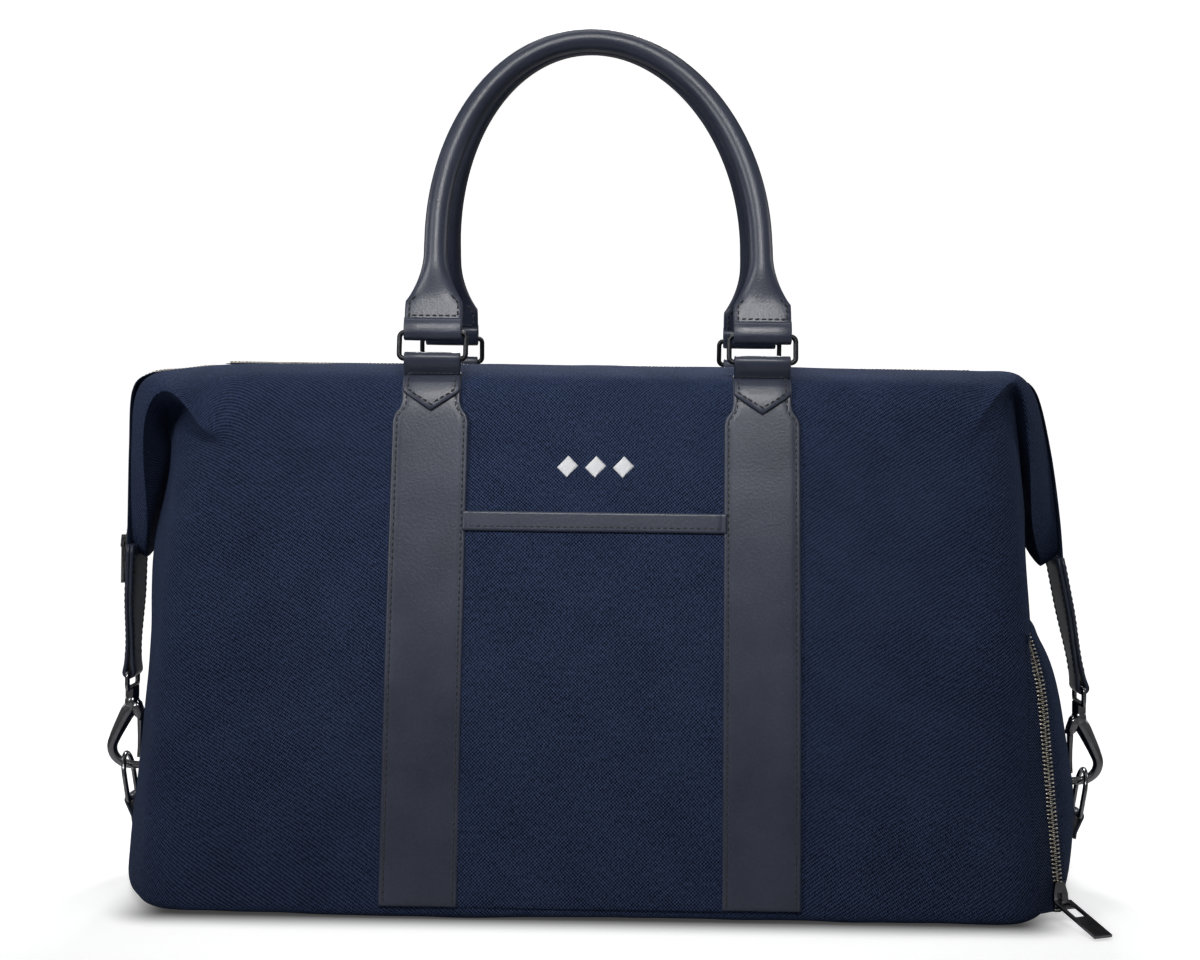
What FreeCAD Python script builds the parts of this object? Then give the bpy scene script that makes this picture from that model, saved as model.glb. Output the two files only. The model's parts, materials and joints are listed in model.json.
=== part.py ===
import FreeCAD, Part
import math
import os
import Sketcher

# Weekender bag.  Millimetres.  Origin on the floor under the middle of the bag,
# X to the right seen from the front, the front faces -Y, Z up.

DIMENSIONS = {
    "base_depth": 240, "top_depth": 140, "reach_base": 280, "reach_top": 250, "corner_round": 35,
    "end_bow": 221, "wall": 2.5, "foot_height": 5, "foot_radius": 8, "foot_face": 5, "foot_across": 210,
    "foot_along": 85, "panel_height": 298.5, "end_panel_height": 187.5, "band_base": 180,
    "band_top": 74, "fold_in": 212, "fold_height": 247.5, "fold_top": 246, "gusset_height": 295,
    "gusset_root": 262, "board_length": 470, "board_depth": 200, "board_thickness": 3, "top_reach": 266,
    "top_gap": 9, "zip_tape_half": 13, "tape_thickness": 0.8, "teeth_width": 5.8, "teeth_height": 1.7,
    "strap_offset": 95.5, "strap_width": 44, "strap_thickness": 2.6, "strap_neck": 34,
    "shoulder_low": 276, "shoulder_high": 283, "strap_length": 300, "pocket_height": 210,
    "pocket_thickness": 1.2, "pocket_gap": 0.5, "binding_height": 11, "binding_thickness": 2.2,
    "motif_height": 248, "motif_size": 12, "motif_pitch": 16, "motif_thickness": 0.8,
    "chape_width": 32.6, "chape_leaf": 2.2, "chape_point": 26, "chape_shoulder": 18, "chape_loop": 4.2,
    "chape_bore": 2, "leaf_offset": 0.5, "ring_width": 38.5, "ring_height": 15.4, "ring_wire": 1.5,
    "ring_corner": 3, "bar_depth": 71, "bar_height": 313.2, "handle_rise": 190.5, "handle_lean": 18.77,
    "handle_radius": 7, "handle_bore": 5.2, "core_radius": 5, "handle_arch": 95.4, "handle_tab": 33.6,
    "handle_tab_height": 26, "handle_flare": 44, "handle_loop": 5, "shoe_reach_base": 291,
    "shoe_reach_top": 272, "shoe_half_base": 98, "shoe_half_top": 78, "shoe_corner": 14,
    "shoe_height": 156.5, "shoe_zip_length": 141, "shoe_tape": 8, "shoe_slot": 3, "shoe_zip_turn": 70,
    "shoe_zip_foot": 1.5, "tape_gap": 0.2, "slider_gap": 0.3, "wing_root": 272, "wing_top": 288,
    "wing_length": 101, "wing_tilt": 4.5, "wing_half_top": 62, "wing_half_tip": 20, "wing_thickness": 4,
    "tab_thickness": 5, "tab_half_low": 11.5, "tab_loop": 4, "tab_bore": 1.9, "left_hook_reach": 283.4,
    "left_hook_height": 121, "left_tab_length": 65, "left_tab_tilt": -1.5, "right_hook_reach": 295,
    "right_hook_height": 119.5, "right_tab_length": 66.5, "right_tab_tilt": -12, "eye_wire": 1.5,
    "eye_half": 13.8, "eye_drop": 10, "eye_corner": 3, "barrel_radius": 4.2, "barrel_length": 7,
    "post_radius": 1.8, "post_bore": 2.1, "hook_radius": 18, "hook_wire": 2.4, "hook_shift": 4,
    "hook_centre": 40, "gate_radius": 1.6, "gate_length": 27, "gate_pivot": 27.5, "pin_radius": 0.9,
    "pin_bore": 1.0, "ring_d_radius": 12, "ring_d_side": 15.5, "ring_d_wire": 1.5, "ring_d_corner": 3,
    "left_bar_reach": 282.3, "left_bar_height": 43, "right_bar_reach": 293.9, "right_bar_height": 41.5,
    "keeper_loop": 3.6, "keeper_bore": 1.8, "keeper_half": 8.5, "keeper_length": 14,
    "keeper_thickness": 2.2, "keeper_tilt": 6, "ring_d_lean": -9.5, "slider_width": 9,
    "slider_length": 13, "slider_plate": 2.2, "pull_width": 8, "pull_length": 24, "shoe_pull_width": 11,
    "shoe_pull_length": 42, "pull_thickness": 1.6, "slider_drop": 86, "shoe_slider_rise": 6,
    "shoe_pull_tilt": 69, "bail_width": 3, "bail_height": 3.4, "bail_eye": 1.6, "bail_bore": 1.2,
    "bail_sink": 0.2, "pull_gap": 3.8, "pull_top": 1.2, "pull_frame": 2, "gate_inset": 1.2,
    "keeper_back": 5.6,
}

doc = FreeCAD.newDocument("weekender_bag")
sheet = doc.addObject("Spreadsheet::Sheet", "Dims")
for row, (alias, number) in enumerate(DIMENSIONS.items(), start=1):
    sheet.set("A%d" % row, alias)
    sheet.set("B%d" % row, str(number))
    sheet.setAlias("B%d" % row, alias)
doc.recompute()

X_AXIS = FreeCAD.Vector(1, 0, 0)
Y_AXIS = FreeCAD.Vector(0, 1, 0)
Z_AXIS = FreeCAD.Vector(0, 0, 1)
BIG = 700            # wider than anything in the bag, for cutting blocks
pieces = {}


def size(alias):
    """The number in one cell of the sheet."""
    return float(getattr(sheet, alias))


def lean_angle():
    """How far the front and rear panels lean inwards, in degrees."""
    rise = size("panel_height")
    return math.degrees(math.atan((size("base_depth") - size("top_depth")) / 2 / rise))


def place(item, x, y, z, *turns):
    """Put an item at x, y, z after turning it; turns are (axis, degrees), the last one first."""
    rotation = FreeCAD.Rotation()
    for axis, degrees in turns:
        rotation = rotation.multiply(FreeCAD.Rotation(axis, degrees))
    item.Placement = FreeCAD.Placement(FreeCAD.Vector(x, y, z), rotation)
    return item


def new_body(label):
    """An empty PartDesign body."""
    body = doc.addObject("PartDesign::Body", label)
    body.Label = label
    return body


def keep(label, item):
    """Name a finished piece."""
    item.Label = label
    pieces[label] = item
    return item


def origin_plane(body, role):
    """One of the body's own origin planes."""
    return [feature for feature in body.Origin.OriginFeatures if feature.Role == role][0]


def new_sketch(body, name, plane, lift="0"):
    """A sketch on one of the body's origin planes, moved along its normal by lift."""
    sketch = body.newObject("Sketcher::SketchObject", name)
    sketch.AttachmentSupport = [(origin_plane(body, plane), "")]
    sketch.MapMode = "FlatFace"
    if lift != "0":
        sketch.setExpression("AttachmentOffset.Base.z", lift)
    return sketch


def pin_point(sketch, geometry, point, across, up):
    """Tie one point to a place given by two expressions."""
    here = sketch.getPoint(geometry, point)
    for kind, guess, text in (("DistanceX", here.x, across), ("DistanceY", here.y, up)):
        number = sketch.addConstraint(Sketcher.Constraint(kind, -1, 1, geometry, point, guess))
        sketch.setExpression("Constraints[%d]" % number, text)


def polygon(body, name, plane, corners, lift="0"):
    """A closed polygon whose corners are pairs of expressions, anticlockwise."""
    sketch = new_sketch(body, name, plane, lift)
    count = len(corners)
    guess = []
    for index in range(count):
        angle = 2 * math.pi * index / count
        guess.append(FreeCAD.Vector(20 * math.cos(angle), 20 * math.sin(angle), 0))
    for index in range(count):
        sketch.addGeometry(Part.LineSegment(guess[index], guess[(index + 1) % count]), False)
    for index in range(count):
        sketch.addConstraint(Sketcher.Constraint("Coincident", index, 2, (index + 1) % count, 1))
    for index, (across, up) in enumerate(corners):
        pin_point(sketch, index, 1, across, up)
    return sketch


def box_outline(left, low, right, high):
    """The four corners of a rectangle."""
    return [(left, low), (right, low), (right, high), (left, high)]


def circle(body, name, plane, across, up, radius, lift="0"):
    """One circle with its centre and radius given by expressions."""
    sketch = new_sketch(body, name, plane, lift)
    sketch.addGeometry(Part.Circle(FreeCAD.Vector(1, 1, 0), Z_AXIS, 2), False)
    pin_point(sketch, 0, 3, across, up)
    number = sketch.addConstraint(Sketcher.Constraint("Radius", 0, 2))
    sketch.setExpression("Constraints[%d]" % number, radius)
    return sketch


def feature(body, kind, profile, length, both_ways=False, backwards=False):
    """A Pad or Pocket of a sketch."""
    made = body.newObject("PartDesign::" + kind, kind + str(len(body.Group)))
    made.Profile = profile
    made.setExpression("Length", length)
    made.Midplane = both_ways
    made.Reversed = backwards
    profile.Visibility = False
    return made


def chain(body, name, plane, curves, lift="0"):
    """A path of curves that run on smoothly from one to the next."""
    sketch = new_sketch(body, name, plane, lift)
    for curve in curves:
        sketch.addGeometry(curve, False)
    return sketch


def pipe(body, kind, path, profile):
    """Sweep a profile along a path; kind is AdditivePipe or SubtractivePipe."""
    made = body.newObject("PartDesign::" + kind, kind + str(len(body.Group)))
    made.Profile = profile
    made.Spine = path
    return made


def line(x0, y0, x1, y1):
    """A straight piece of a path."""
    return Part.LineSegment(FreeCAD.Vector(x0, y0, 0), FreeCAD.Vector(x1, y1, 0))


def bow(x, y, radius, start, end):
    """A round piece of a path, from one angle to the next in degrees, anticlockwise."""
    whole = Part.Circle(FreeCAD.Vector(x, y, 0), Z_AXIS, radius)
    return Part.ArcOfCircle(whole, math.radians(start), math.radians(end))


def rounded_loop(half, low, high, corner):
    """A closed rectangle path with round corners, starting in the middle of its low side."""
    return [
        line(0, low, half - corner, low),
        bow(half - corner, low + corner, corner, -90, 0),
        line(half, low + corner, half, high - corner),
        bow(half - corner, high - corner, corner, 0, 90),
        line(half - corner, high, -half + corner, high),
        bow(-half + corner, high - corner, corner, 90, 180),
        line(-half, high - corner, -half, low + corner),
        bow(-half + corner, low + corner, corner, 180, 270),
        line(-half + corner, low, 0, low),
    ]


def plan_outline(body, name, lift, left, right, half, corner, trim):
    """The bag seen from above: flat front and rear, round corners, bowed ends."""
    sketch = new_sketch(body, name, "XY_Plane", lift)
    end_radius = size("end_bow") - trim
    corner_radius = corner - trim
    reach = {-1: left - trim, 1: right - trim}
    depth = half - trim
    inner = end_radius - corner_radius
    rise = depth - corner_radius
    run = math.sqrt(inner ** 2 - rise ** 2)
    spread = math.degrees(math.atan2(rise, run))
    right_centre = reach[1] - end_radius
    left_centre = -reach[-1] + end_radius
    curves = [
        line(left_centre - run, -depth, right_centre + run, -depth),
        bow(right_centre + run, -rise, corner_radius, -90, -spread),
        bow(right_centre, 0, end_radius, -spread, spread),
        bow(right_centre + run, rise, corner_radius, spread, 90),
        line(right_centre + run, depth, left_centre - run, depth),
        bow(left_centre - run, rise, corner_radius, 90, 180 - spread),
        bow(left_centre, 0, end_radius, 180 - spread, 180 + spread),
        bow(left_centre - run, -rise, corner_radius, 180 + spread, 270),
    ]
    for curve in curves:
        sketch.addGeometry(curve, False)
    return sketch


def hull(label, low, high, base, top, corner, trim):
    """A closed body lofted between two plan outlines; base and top are (left, right, half depth)."""
    body = new_body(label)
    lower = plan_outline(body, label + "_low", low, *base, corner, trim)
    upper = plan_outline(body, label + "_high", high, *top, corner, trim)
    loft = body.newObject("PartDesign::AdditiveLoft", "Loft")
    loft.Profile = lower
    loft.Sections = [upper]
    loft.Ruled = True
    return body


def boolean(kind, label, base, tool):
    """Part::Cut, Part::Common or Part::Fuse of two items."""
    made = doc.addObject("Part::" + kind, label)
    if kind == "MultiFuse":
        made.Shapes = [base, tool]
    else:
        made.Base = base
        made.Tool = tool
    return made


def block(label, low, high):
    """A cutting block between two corners."""
    made = doc.addObject("Part::Box", label)
    made.Length = high[0] - low[0]
    made.Width = high[1] - low[1]
    made.Height = high[2] - low[2]
    return place(made, *low)


def mirrored(label, source, normal):
    """A mirror image across the middle of the bag."""
    made = doc.addObject("Part::Mirroring", label)
    made.Source = source
    made.Normal = normal
    made.Base = FreeCAD.Vector(0, 0, 0)
    return made


def group(label, members):
    """Several separate solids under one name."""
    made = doc.addObject("Part::Compound", label)
    made.Links = members
    return keep(label, made)


# ---------------------------------------------------------------- canvas body

floor_level = "Dims.foot_height + Dims.wall"
base_level = size("foot_height") + size("wall")
base_plan = (size("reach_base"), size("reach_base"), size("base_depth") / 2)
top_plan = (size("reach_top"), size("reach_top"), size("top_depth") / 2)


def make_canvas_body():
    """Front, rear and end panels cut from one thin leaning shell, and the folded gussets."""
    rim = floor_level + " + Dims.panel_height"
    outer = hull("outer_hull", floor_level, rim, base_plan, top_plan, size("corner_round"), 0)
    inner = hull("inner_hull", floor_level, rim, base_plan, top_plan, size("corner_round"), size("wall"))
    shell = boolean("Cut", "canvas_shell", outer, inner)
    band = doc.addObject("Part::Wedge", "end_band")
    for name, text in (("Ymax", "Dims.panel_height"), ("Zmin", "-Dims.band_base / 2"),
                       ("Zmax", "Dims.band_base / 2"), ("Z2min", "-Dims.band_top / 2"),
                       ("Z2max", "Dims.band_top / 2")):
        band.setExpression(name, text)
    band.Ymin = 0
    for name, number in (("Xmin", -BIG), ("X2min", -BIG), ("Xmax", BIG), ("X2max", BIG)):
        setattr(band, name, number)
    place(band, 0, 0, base_level, (X_AXIS, 90))
    sides = boolean("Cut", "side_panels", shell, band)
    ends = boolean("Common", "end_panels", shell, band)
    front_half = block("front_half", (-BIG, -BIG, 0), (BIG, 0, BIG))
    keep("front_panel", boolean("Common", "front_panel", sides, front_half))
    keep("rear_panel", boolean("Cut", "rear_panel", sides, front_half))
    rim_height = base_level + size("end_panel_height")
    left_half = block("left_half", (-BIG, -BIG, 0), (0, BIG, rim_height))
    right_half = block("right_half", (0, -BIG, 0), (BIG, BIG, rim_height))
    keep("left_end_panel", boolean("Common", "left_end_panel", ends, left_half))
    keep("right_end_panel", boolean("Common", "right_end_panel", ends, right_half))
    for side, sign in (("left", "-"), ("right", "")):
        strip = new_body(side + "_gusset_strip")
        outline = [(sign + "Dims.gusset_root", "Dims.end_panel_height + 1"),
                   (sign + "Dims.fold_in", "Dims.fold_height"),
                   (sign + "Dims.fold_top", "Dims.gusset_height"),
                   (sign + "(Dims.fold_top - 1.4 * Dims.wall)", "Dims.gusset_height"),
                   (sign + "(Dims.fold_in - 1.6 * Dims.wall)", "Dims.fold_height"),
                   (sign + "(Dims.gusset_root - 1.6 * Dims.wall)", "Dims.end_panel_height + 1")]
        sketch = polygon(strip, "fold", "XZ_Plane", outline)
        feature(strip, "Pad", sketch, "Dims.base_depth", both_ways=True)
        place(strip, 0, 0, base_level)
        keep(side + "_gusset", boolean("Common", side + "_gusset", strip, inner))
    return outer


def make_base():
    """Canvas floor, the stiff board on it and the five feet under it."""
    body = new_body("base_panel")
    outline = plan_outline(body, "floor", "Dims.foot_height", *base_plan, size("corner_round"), 0)
    feature(body, "Pad", outline, "Dims.wall")
    keep("base_panel", body)
    board = new_body("base_board")
    half = ("Dims.board_length / 2", "Dims.board_depth / 2")
    sketch = polygon(board, "board", "XY_Plane",
                     box_outline("-" + half[0], "-" + half[1], half[0], half[1]), floor_level)
    feature(board, "Pad", sketch, "Dims.board_thickness")
    keep("base_board", board)
    feet = []
    for name in ("middle_foot", "foot"):
        cone = doc.addObject("Part::Cone", name)
        cone.setExpression("Radius1", "Dims.foot_face")
        cone.setExpression("Radius2", "Dims.foot_radius")
        cone.setExpression("Height", "Dims.foot_height")
        feet.append(cone)
    foot = feet[1]
    foot.setExpression("Placement.Base.x", "Dims.foot_across")
    foot.setExpression("Placement.Base.y", "Dims.foot_along")
    left_foot = mirrored("left_foot", foot, X_AXIS)
    front = mirrored("front_foot", foot, Y_AXIS)
    front_left = mirrored("front_left_foot", left_foot, Y_AXIS)
    group("base_feet", feet + [left_foot, front, front_left])


def make_top():
    """Two flat canvas panels with the zip's straight stretch between them."""
    panel = new_body("front_top_panel")
    outline = box_outline("-Dims.top_reach", "-Dims.top_depth / 2", "Dims.top_reach", "-Dims.top_gap")
    sketch = polygon(panel, "top", "XY_Plane", outline, floor_level + " + Dims.panel_height")
    feature(panel, "Pad", sketch, "Dims.wall")
    keep("front_top_panel", panel)
    keep("rear_top_panel", mirrored("rear_top_panel", panel, Y_AXIS))
    tape = new_body("top_zip_tape")
    outline = box_outline("-Dims.top_reach", "-Dims.zip_tape_half", "Dims.top_reach", "Dims.zip_tape_half")
    sketch = polygon(tape, "tape", "XY_Plane", outline,
                     floor_level + " + Dims.panel_height - Dims.tape_thickness")
    feature(tape, "Pad", sketch, "Dims.tape_thickness")
    keep("top_zip_tape", tape)
    teeth = new_body("top_zip_teeth")
    outline = box_outline("-Dims.top_reach", "-Dims.teeth_width / 2", "Dims.top_reach", "Dims.teeth_width / 2")
    sketch = polygon(teeth, "teeth", "XY_Plane", outline, floor_level + " + Dims.panel_height")
    feature(teeth, "Pad", sketch, "Dims.teeth_height")
    keep("top_zip_teeth", teeth)


def on_front(body):
    """Stand a body on the leaning front panel: its XZ plane is the canvas, -Y is outwards."""
    return place(body, 0, -size("base_depth") / 2, base_level, (X_AXIS, -lean_angle()))


def make_slip_pocket():
    """The open-topped pocket between the straps, its leather binding and the stitched motif."""
    reach = "(Dims.strap_offset - Dims.strap_width / 2 - 0.3)"
    pocket = new_body("pocket_panel")
    outline = box_outline("-" + reach, "0", reach, "Dims.pocket_height")
    sketch = polygon(pocket, "pocket", "XZ_Plane", outline, "Dims.pocket_gap")
    feature(pocket, "Pad", sketch, "Dims.pocket_thickness")
    keep("pocket_panel", on_front(pocket))
    binding = new_body("pocket_binding")
    outline = box_outline("-" + reach, "Dims.pocket_height", reach, "Dims.pocket_height + Dims.binding_height")
    sketch = polygon(binding, "binding", "XZ_Plane", outline, "Dims.pocket_gap")
    feature(binding, "Pad", sketch, "Dims.binding_thickness")
    keep("pocket_binding", on_front(binding))
    diamonds = []
    for step in (-1, 0, 1):
        body = new_body("diamond%d" % (step + 2))
        middle = "(%d * Dims.motif_pitch)" % step
        outline = [(middle, "Dims.motif_height - Dims.motif_size / 2"),
                   (middle + " + Dims.motif_size / 2", "Dims.motif_height"),
                   (middle, "Dims.motif_height + Dims.motif_size / 2"),
                   (middle + " - Dims.motif_size / 2", "Dims.motif_height")]
        sketch = polygon(body, "diamond", "XZ_Plane", outline)
        feature(body, "Pad", sketch, "Dims.motif_thickness")
        diamonds.append(on_front(body))
    group("embroidered_motif", diamonds)


def make_straps():
    """Wide leather straps up the front and rear; each narrows to a neck at the top."""
    for side, sign in (("left", "-1"), ("right", "1")):
        body = new_body("front_%s_strap" % side)
        middle = "%s * Dims.strap_offset" % sign
        wide = "Dims.strap_width / 2"
        neck = "Dims.strap_neck / 2"
        outline = [(middle + " - " + wide, "0"), (middle + " + " + wide, "0"),
                   (middle + " + " + wide, "Dims.shoulder_low"), (middle + " + " + neck, "Dims.shoulder_high"),
                   (middle + " + " + neck, "Dims.strap_length"), (middle + " - " + neck, "Dims.strap_length"),
                   (middle + " - " + neck, "Dims.shoulder_high"), (middle + " - " + wide, "Dims.shoulder_low")]
        sketch = polygon(body, "strap", "XZ_Plane", outline)
        feature(body, "Pad", sketch, "Dims.strap_thickness")
        keep("front_%s_strap" % side, on_front(body))
        keep("rear_%s_strap" % side, mirrored("rear_%s_strap" % side, body, Y_AXIS))


def at_bar(body, across):
    """Stand a body on the rings' lower bar, leaning with the front panel."""
    return place(body, across, -size("bar_depth"), size("bar_height"), (X_AXIS, -lean_angle()))


def make_chapes():
    """Pointed leather leaves whose folded tops hold the rectangular rings."""
    for side, sign in (("left", -1), ("right", 1)):
        body = new_body("front_%s_chape" % side)
        half = "Dims.chape_width / 2"
        outline = [("0", "-Dims.chape_point"), (half, "-Dims.chape_shoulder"), (half, "0"),
                   ("-" + half, "0"), ("-" + half, "-Dims.chape_shoulder")]
        leaf = polygon(body, "leaf", "XZ_Plane", outline, "Dims.leaf_offset + 0.1")
        feature(body, "Pad", leaf, "Dims.chape_leaf")
        loop = circle(body, "loop", "YZ_Plane", "0", "0", "Dims.chape_loop")
        feature(body, "Pad", loop, "Dims.chape_width", both_ways=True)
        bore = circle(body, "bore", "YZ_Plane", "0", "0", "Dims.chape_bore")
        feature(body, "Pocket", bore, "2 * Dims.chape_width", both_ways=True)
        keep("front_%s_chape" % side, at_bar(body, sign * size("strap_offset")))
        keep("rear_%s_chape" % side, mirrored("rear_%s_chape" % side, body, Y_AXIS))


def make_rings():
    """Rectangular wire rings, hinged in the chapes."""
    half = size("ring_width") / 2
    rings = []
    for sign in (-1, 1):
        body = new_body("ring%d" % (sign + 2))
        path = chain(body, "path", "XZ_Plane", rounded_loop(half, 0, size("ring_height"), size("ring_corner")))
        wire = circle(body, "wire", "YZ_Plane", "0", "0", "Dims.ring_wire")
        pipe(body, "AdditivePipe", path, wire)
        rings.append(at_bar(body, sign * size("strap_offset")))
    group("front_rings", rings)
    group("rear_rings", [mirrored("rear_" + ring.Name, ring, Y_AXIS) for ring in rings])


def make_handles():
    """Rolled leather handles: a cord core in a leather cover with a folded tab at each end."""
    arch = size("handle_arch")
    straight = size("handle_rise") - arch
    start = size("handle_tab_height") + 2
    inset = 3
    lean = math.radians(lean_angle())
    depth = size("bar_depth") - size("ring_height") * math.sin(lean)
    height = size("bar_height") + size("ring_height") * math.cos(lean)

    def legs_and_arch(low):
        return [line(-arch, low, -arch, straight), bow(0, straight, arch, 0, 180), line(arch, straight, arch, low)]

    cover = new_body("front_handle_cover")
    path = chain(cover, "path", "XZ_Plane", legs_and_arch(start))
    rim = circle(cover, "rim", "XY_Plane", "-Dims.handle_arch", "0", "Dims.handle_radius",
                 "Dims.handle_tab_height + 2")
    pipe(cover, "AdditivePipe", path, rim)
    for sign in ("-1", "1"):
        middle = "(%s * Dims.handle_arch)" % sign
        half = "Dims.handle_tab / 2"
        outline = [(middle + " - " + half, "0"), (middle + " + " + half, "0"),
                   (middle + " + " + half, "Dims.handle_tab_height"),
                   (middle + " + Dims.handle_radius * 0.9", "Dims.handle_flare"),
                   (middle + " - Dims.handle_radius * 0.9", "Dims.handle_flare"),
                   (middle + " - " + half, "Dims.handle_tab_height")]
        tab = polygon(cover, "tab", "XZ_Plane", outline)
        feature(cover, "Pad", tab, "Dims.handle_loop * 1.4", both_ways=True)
        lift = middle + " - " + half
        loop = circle(cover, "loop", "YZ_Plane", "0", "0", "Dims.handle_loop", lift)
        feature(cover, "Pad", loop, "Dims.handle_tab")
        bore = circle(cover, "bore", "YZ_Plane", "0", "0", "Dims.chape_bore", lift)
        feature(cover, "Pocket", bore, "Dims.handle_tab", backwards=True)
    hollow = chain(cover, "hollow", "XZ_Plane", legs_and_arch(start + inset))
    lining = circle(cover, "lining", "XY_Plane", "-Dims.handle_arch", "0", "Dims.handle_bore",
                    "Dims.handle_tab_height + %d" % (2 + inset))
    pipe(cover, "SubtractivePipe", hollow, lining)
    core = new_body("front_handle_core")
    path = chain(core, "path", "XZ_Plane", legs_and_arch(start + inset + 0.5))
    cord = circle(core, "cord", "XY_Plane", "-Dims.handle_arch", "0", "Dims.core_radius",
                  "Dims.handle_tab_height + %.1f" % (2 + inset + 0.5))
    pipe(core, "AdditivePipe", path, cord)
    for body in (cover, core):
        place(body, 0, -depth, height, (X_AXIS, -size("handle_lean")))
        keep(body.Label, body)
        rear = body.Label.replace("front", "rear")
        keep(rear, mirrored(rear, body, Y_AXIS))


# ---------------------------------------------------------------- shoe pocket

def shoe_zip_point(reach, half, height):
    """A point on the shoe pocket's round front corner, where its zip runs."""
    corner = size("shoe_corner")
    rise = half - corner
    run = math.sqrt((size("end_bow") - corner) ** 2 - rise ** 2)
    turn = math.radians(size("shoe_zip_turn"))
    across = reach - size("end_bow") + run + corner * math.cos(turn)
    return FreeCAD.Vector(across, -rise - corner * math.sin(turn), height)


def shoe_placement(up):
    """A place on the shoe zip: local X is outwards, Z runs up the zip."""
    foot = shoe_zip_point(size("shoe_reach_base"), size("shoe_half_base"), base_level)
    head = shoe_zip_point(size("shoe_reach_top"), size("shoe_half_top"), base_level + size("shoe_height"))
    along = (head - foot).normalize()
    turn = math.radians(size("shoe_zip_turn"))
    outwards = FreeCAD.Vector(math.cos(turn), -math.sin(turn), 0)
    rotation = FreeCAD.Rotation(outwards, FreeCAD.Vector(), along, "ZXY")
    return FreeCAD.Placement(foot + along * (size("shoe_zip_foot") + up), rotation)


def shoe_frame(body, up):
    """Stand a body on the shoe zip."""
    body.Placement = shoe_placement(up)
    return body


def make_shoe_pocket(outer):
    """The shoe pocket bulges from the right end; its front flank opens along a zip."""
    lid = floor_level + " + Dims.shoe_height"
    wall = size("wall")
    base = (0, size("shoe_reach_base"), size("shoe_half_base"))
    top = (0, size("shoe_reach_top"), size("shoe_half_top"))
    corner = size("shoe_corner")
    skin = hull("shoe_outer", floor_level, lid, base, top, corner, 0)
    hollow = hull("shoe_inner", floor_level + " + Dims.wall", lid + " - Dims.wall", base, top, corner, wall)
    chamber = boolean("Cut", "shoe_chamber", skin, hollow)
    shell = boolean("Cut", "shoe_shell", chamber, outer)
    slot = new_body("shoe_slot_block")
    outline = box_outline("-Dims.shoe_slot / 2", "6", "Dims.shoe_slot / 2", "Dims.shoe_zip_length - 6")
    sketch = polygon(slot, "slot", "YZ_Plane", outline)
    feature(slot, "Pad", sketch, "4 * Dims.wall", both_ways=True)
    shoe_frame(slot, 0)
    keep("shoe_pocket_shell", boolean("Cut", "shoe_pocket_shell", shell, slot))
    tape = new_body("shoe_zip_tape")
    outline = box_outline("-Dims.shoe_tape / 2", "0", "Dims.shoe_tape / 2", "Dims.shoe_zip_length")
    sketch = polygon(tape, "tape", "YZ_Plane", outline, "Dims.tape_gap")
    feature(tape, "Pad", sketch, "Dims.tape_thickness")
    keep("shoe_zip_tape", shoe_frame(tape, 0))
    teeth = new_body("shoe_zip_teeth")
    outline = box_outline("-Dims.teeth_width / 2", "0", "Dims.teeth_width / 2", "Dims.shoe_zip_length")
    sketch = polygon(teeth, "teeth", "YZ_Plane", outline, "Dims.tape_gap + Dims.tape_thickness")
    feature(teeth, "Pad", sketch, "Dims.teeth_height")
    keep("shoe_zip_teeth", shoe_frame(teeth, 0))


# ---------------------------------------------------------------- wings and hooks

def facing(side, body, reach, height, tilt=0.0, drop=0.0):
    """Stand a body at one end of the bag with local X outwards; tilt swings its foot outwards."""
    swing = math.radians(tilt)
    reach = reach + drop * math.sin(swing)
    height = height - drop * math.cos(swing)
    if side == "left":
        return place(body, -reach, 0, height, (Z_AXIS, 180), (Y_AXIS, -tilt))
    return place(body, reach, 0, height, (Y_AXIS, -tilt))


def on_wing(side, body, drop=0.0):
    """Stand a body on the inner face of a hanging wing."""
    return facing(side, body, size("wing_root"), size("wing_top"), size("wing_tilt"), drop)


def make_wing(side):
    """One folded corner of the bag with the end of the main zip down its middle."""
    label = side + "_wing_panel"
    body = new_body(label)
    outline = [("-Dims.wing_half_tip", "-Dims.wing_length"), ("Dims.wing_half_tip", "-Dims.wing_length"),
               ("Dims.wing_half_top", "0"), ("-Dims.wing_half_top", "0")]
    feature(body, "Pad", polygon(body, "wing", "YZ_Plane", outline), "Dims.wing_thickness")
    keep(label, on_wing(side, body))
    for part, half, lift, thickness in (
            ("tape", "Dims.zip_tape_half", "Dims.wing_thickness", "Dims.tape_thickness"),
            ("teeth", "Dims.teeth_width / 2", "Dims.wing_thickness + Dims.tape_thickness", "Dims.teeth_height")):
        label = "%s_wing_zip_%s" % (side, part)
        body = new_body(label)
        outline = box_outline("-" + half, "3 - Dims.wing_length", half, "0")
        feature(body, "Pad", polygon(body, part, "YZ_Plane", outline, lift), thickness)
        keep(label, on_wing(side, body))
    label = side + "_tab"
    body = new_body(label)
    length = "Dims.%s_tab_length" % side
    outline = [("-Dims.tab_half_low", "0"), ("Dims.tab_half_low", "0"),
               ("Dims.tab_half_low", length + " / 3"), ("Dims.wing_half_tip", length),
               ("-Dims.wing_half_tip", length), ("-Dims.tab_half_low", length + " / 3")]
    feature(body, "Pad", polygon(body, "leaf", "YZ_Plane", outline), "Dims.tab_thickness", both_ways=True)
    loop = circle(body, "loop", "XZ_Plane", "0", "0", "Dims.tab_loop")
    feature(body, "Pad", loop, "2 * Dims.tab_half_low", both_ways=True)
    bore = circle(body, "bore", "XZ_Plane", "0", "0", "Dims.tab_bore")
    feature(body, "Pocket", bore, "4 * Dims.tab_half_low", both_ways=True)
    tilt = size(side + "_tab_tilt")
    keep(label, facing(side, body, size(side + "_hook_reach"), size(side + "_hook_height"), -tilt))


def at_hook(side, body):
    """Stand a body on the swivel eye's bar."""
    return facing(side, body, size(side + "_hook_reach"), size(side + "_hook_height"))


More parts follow.
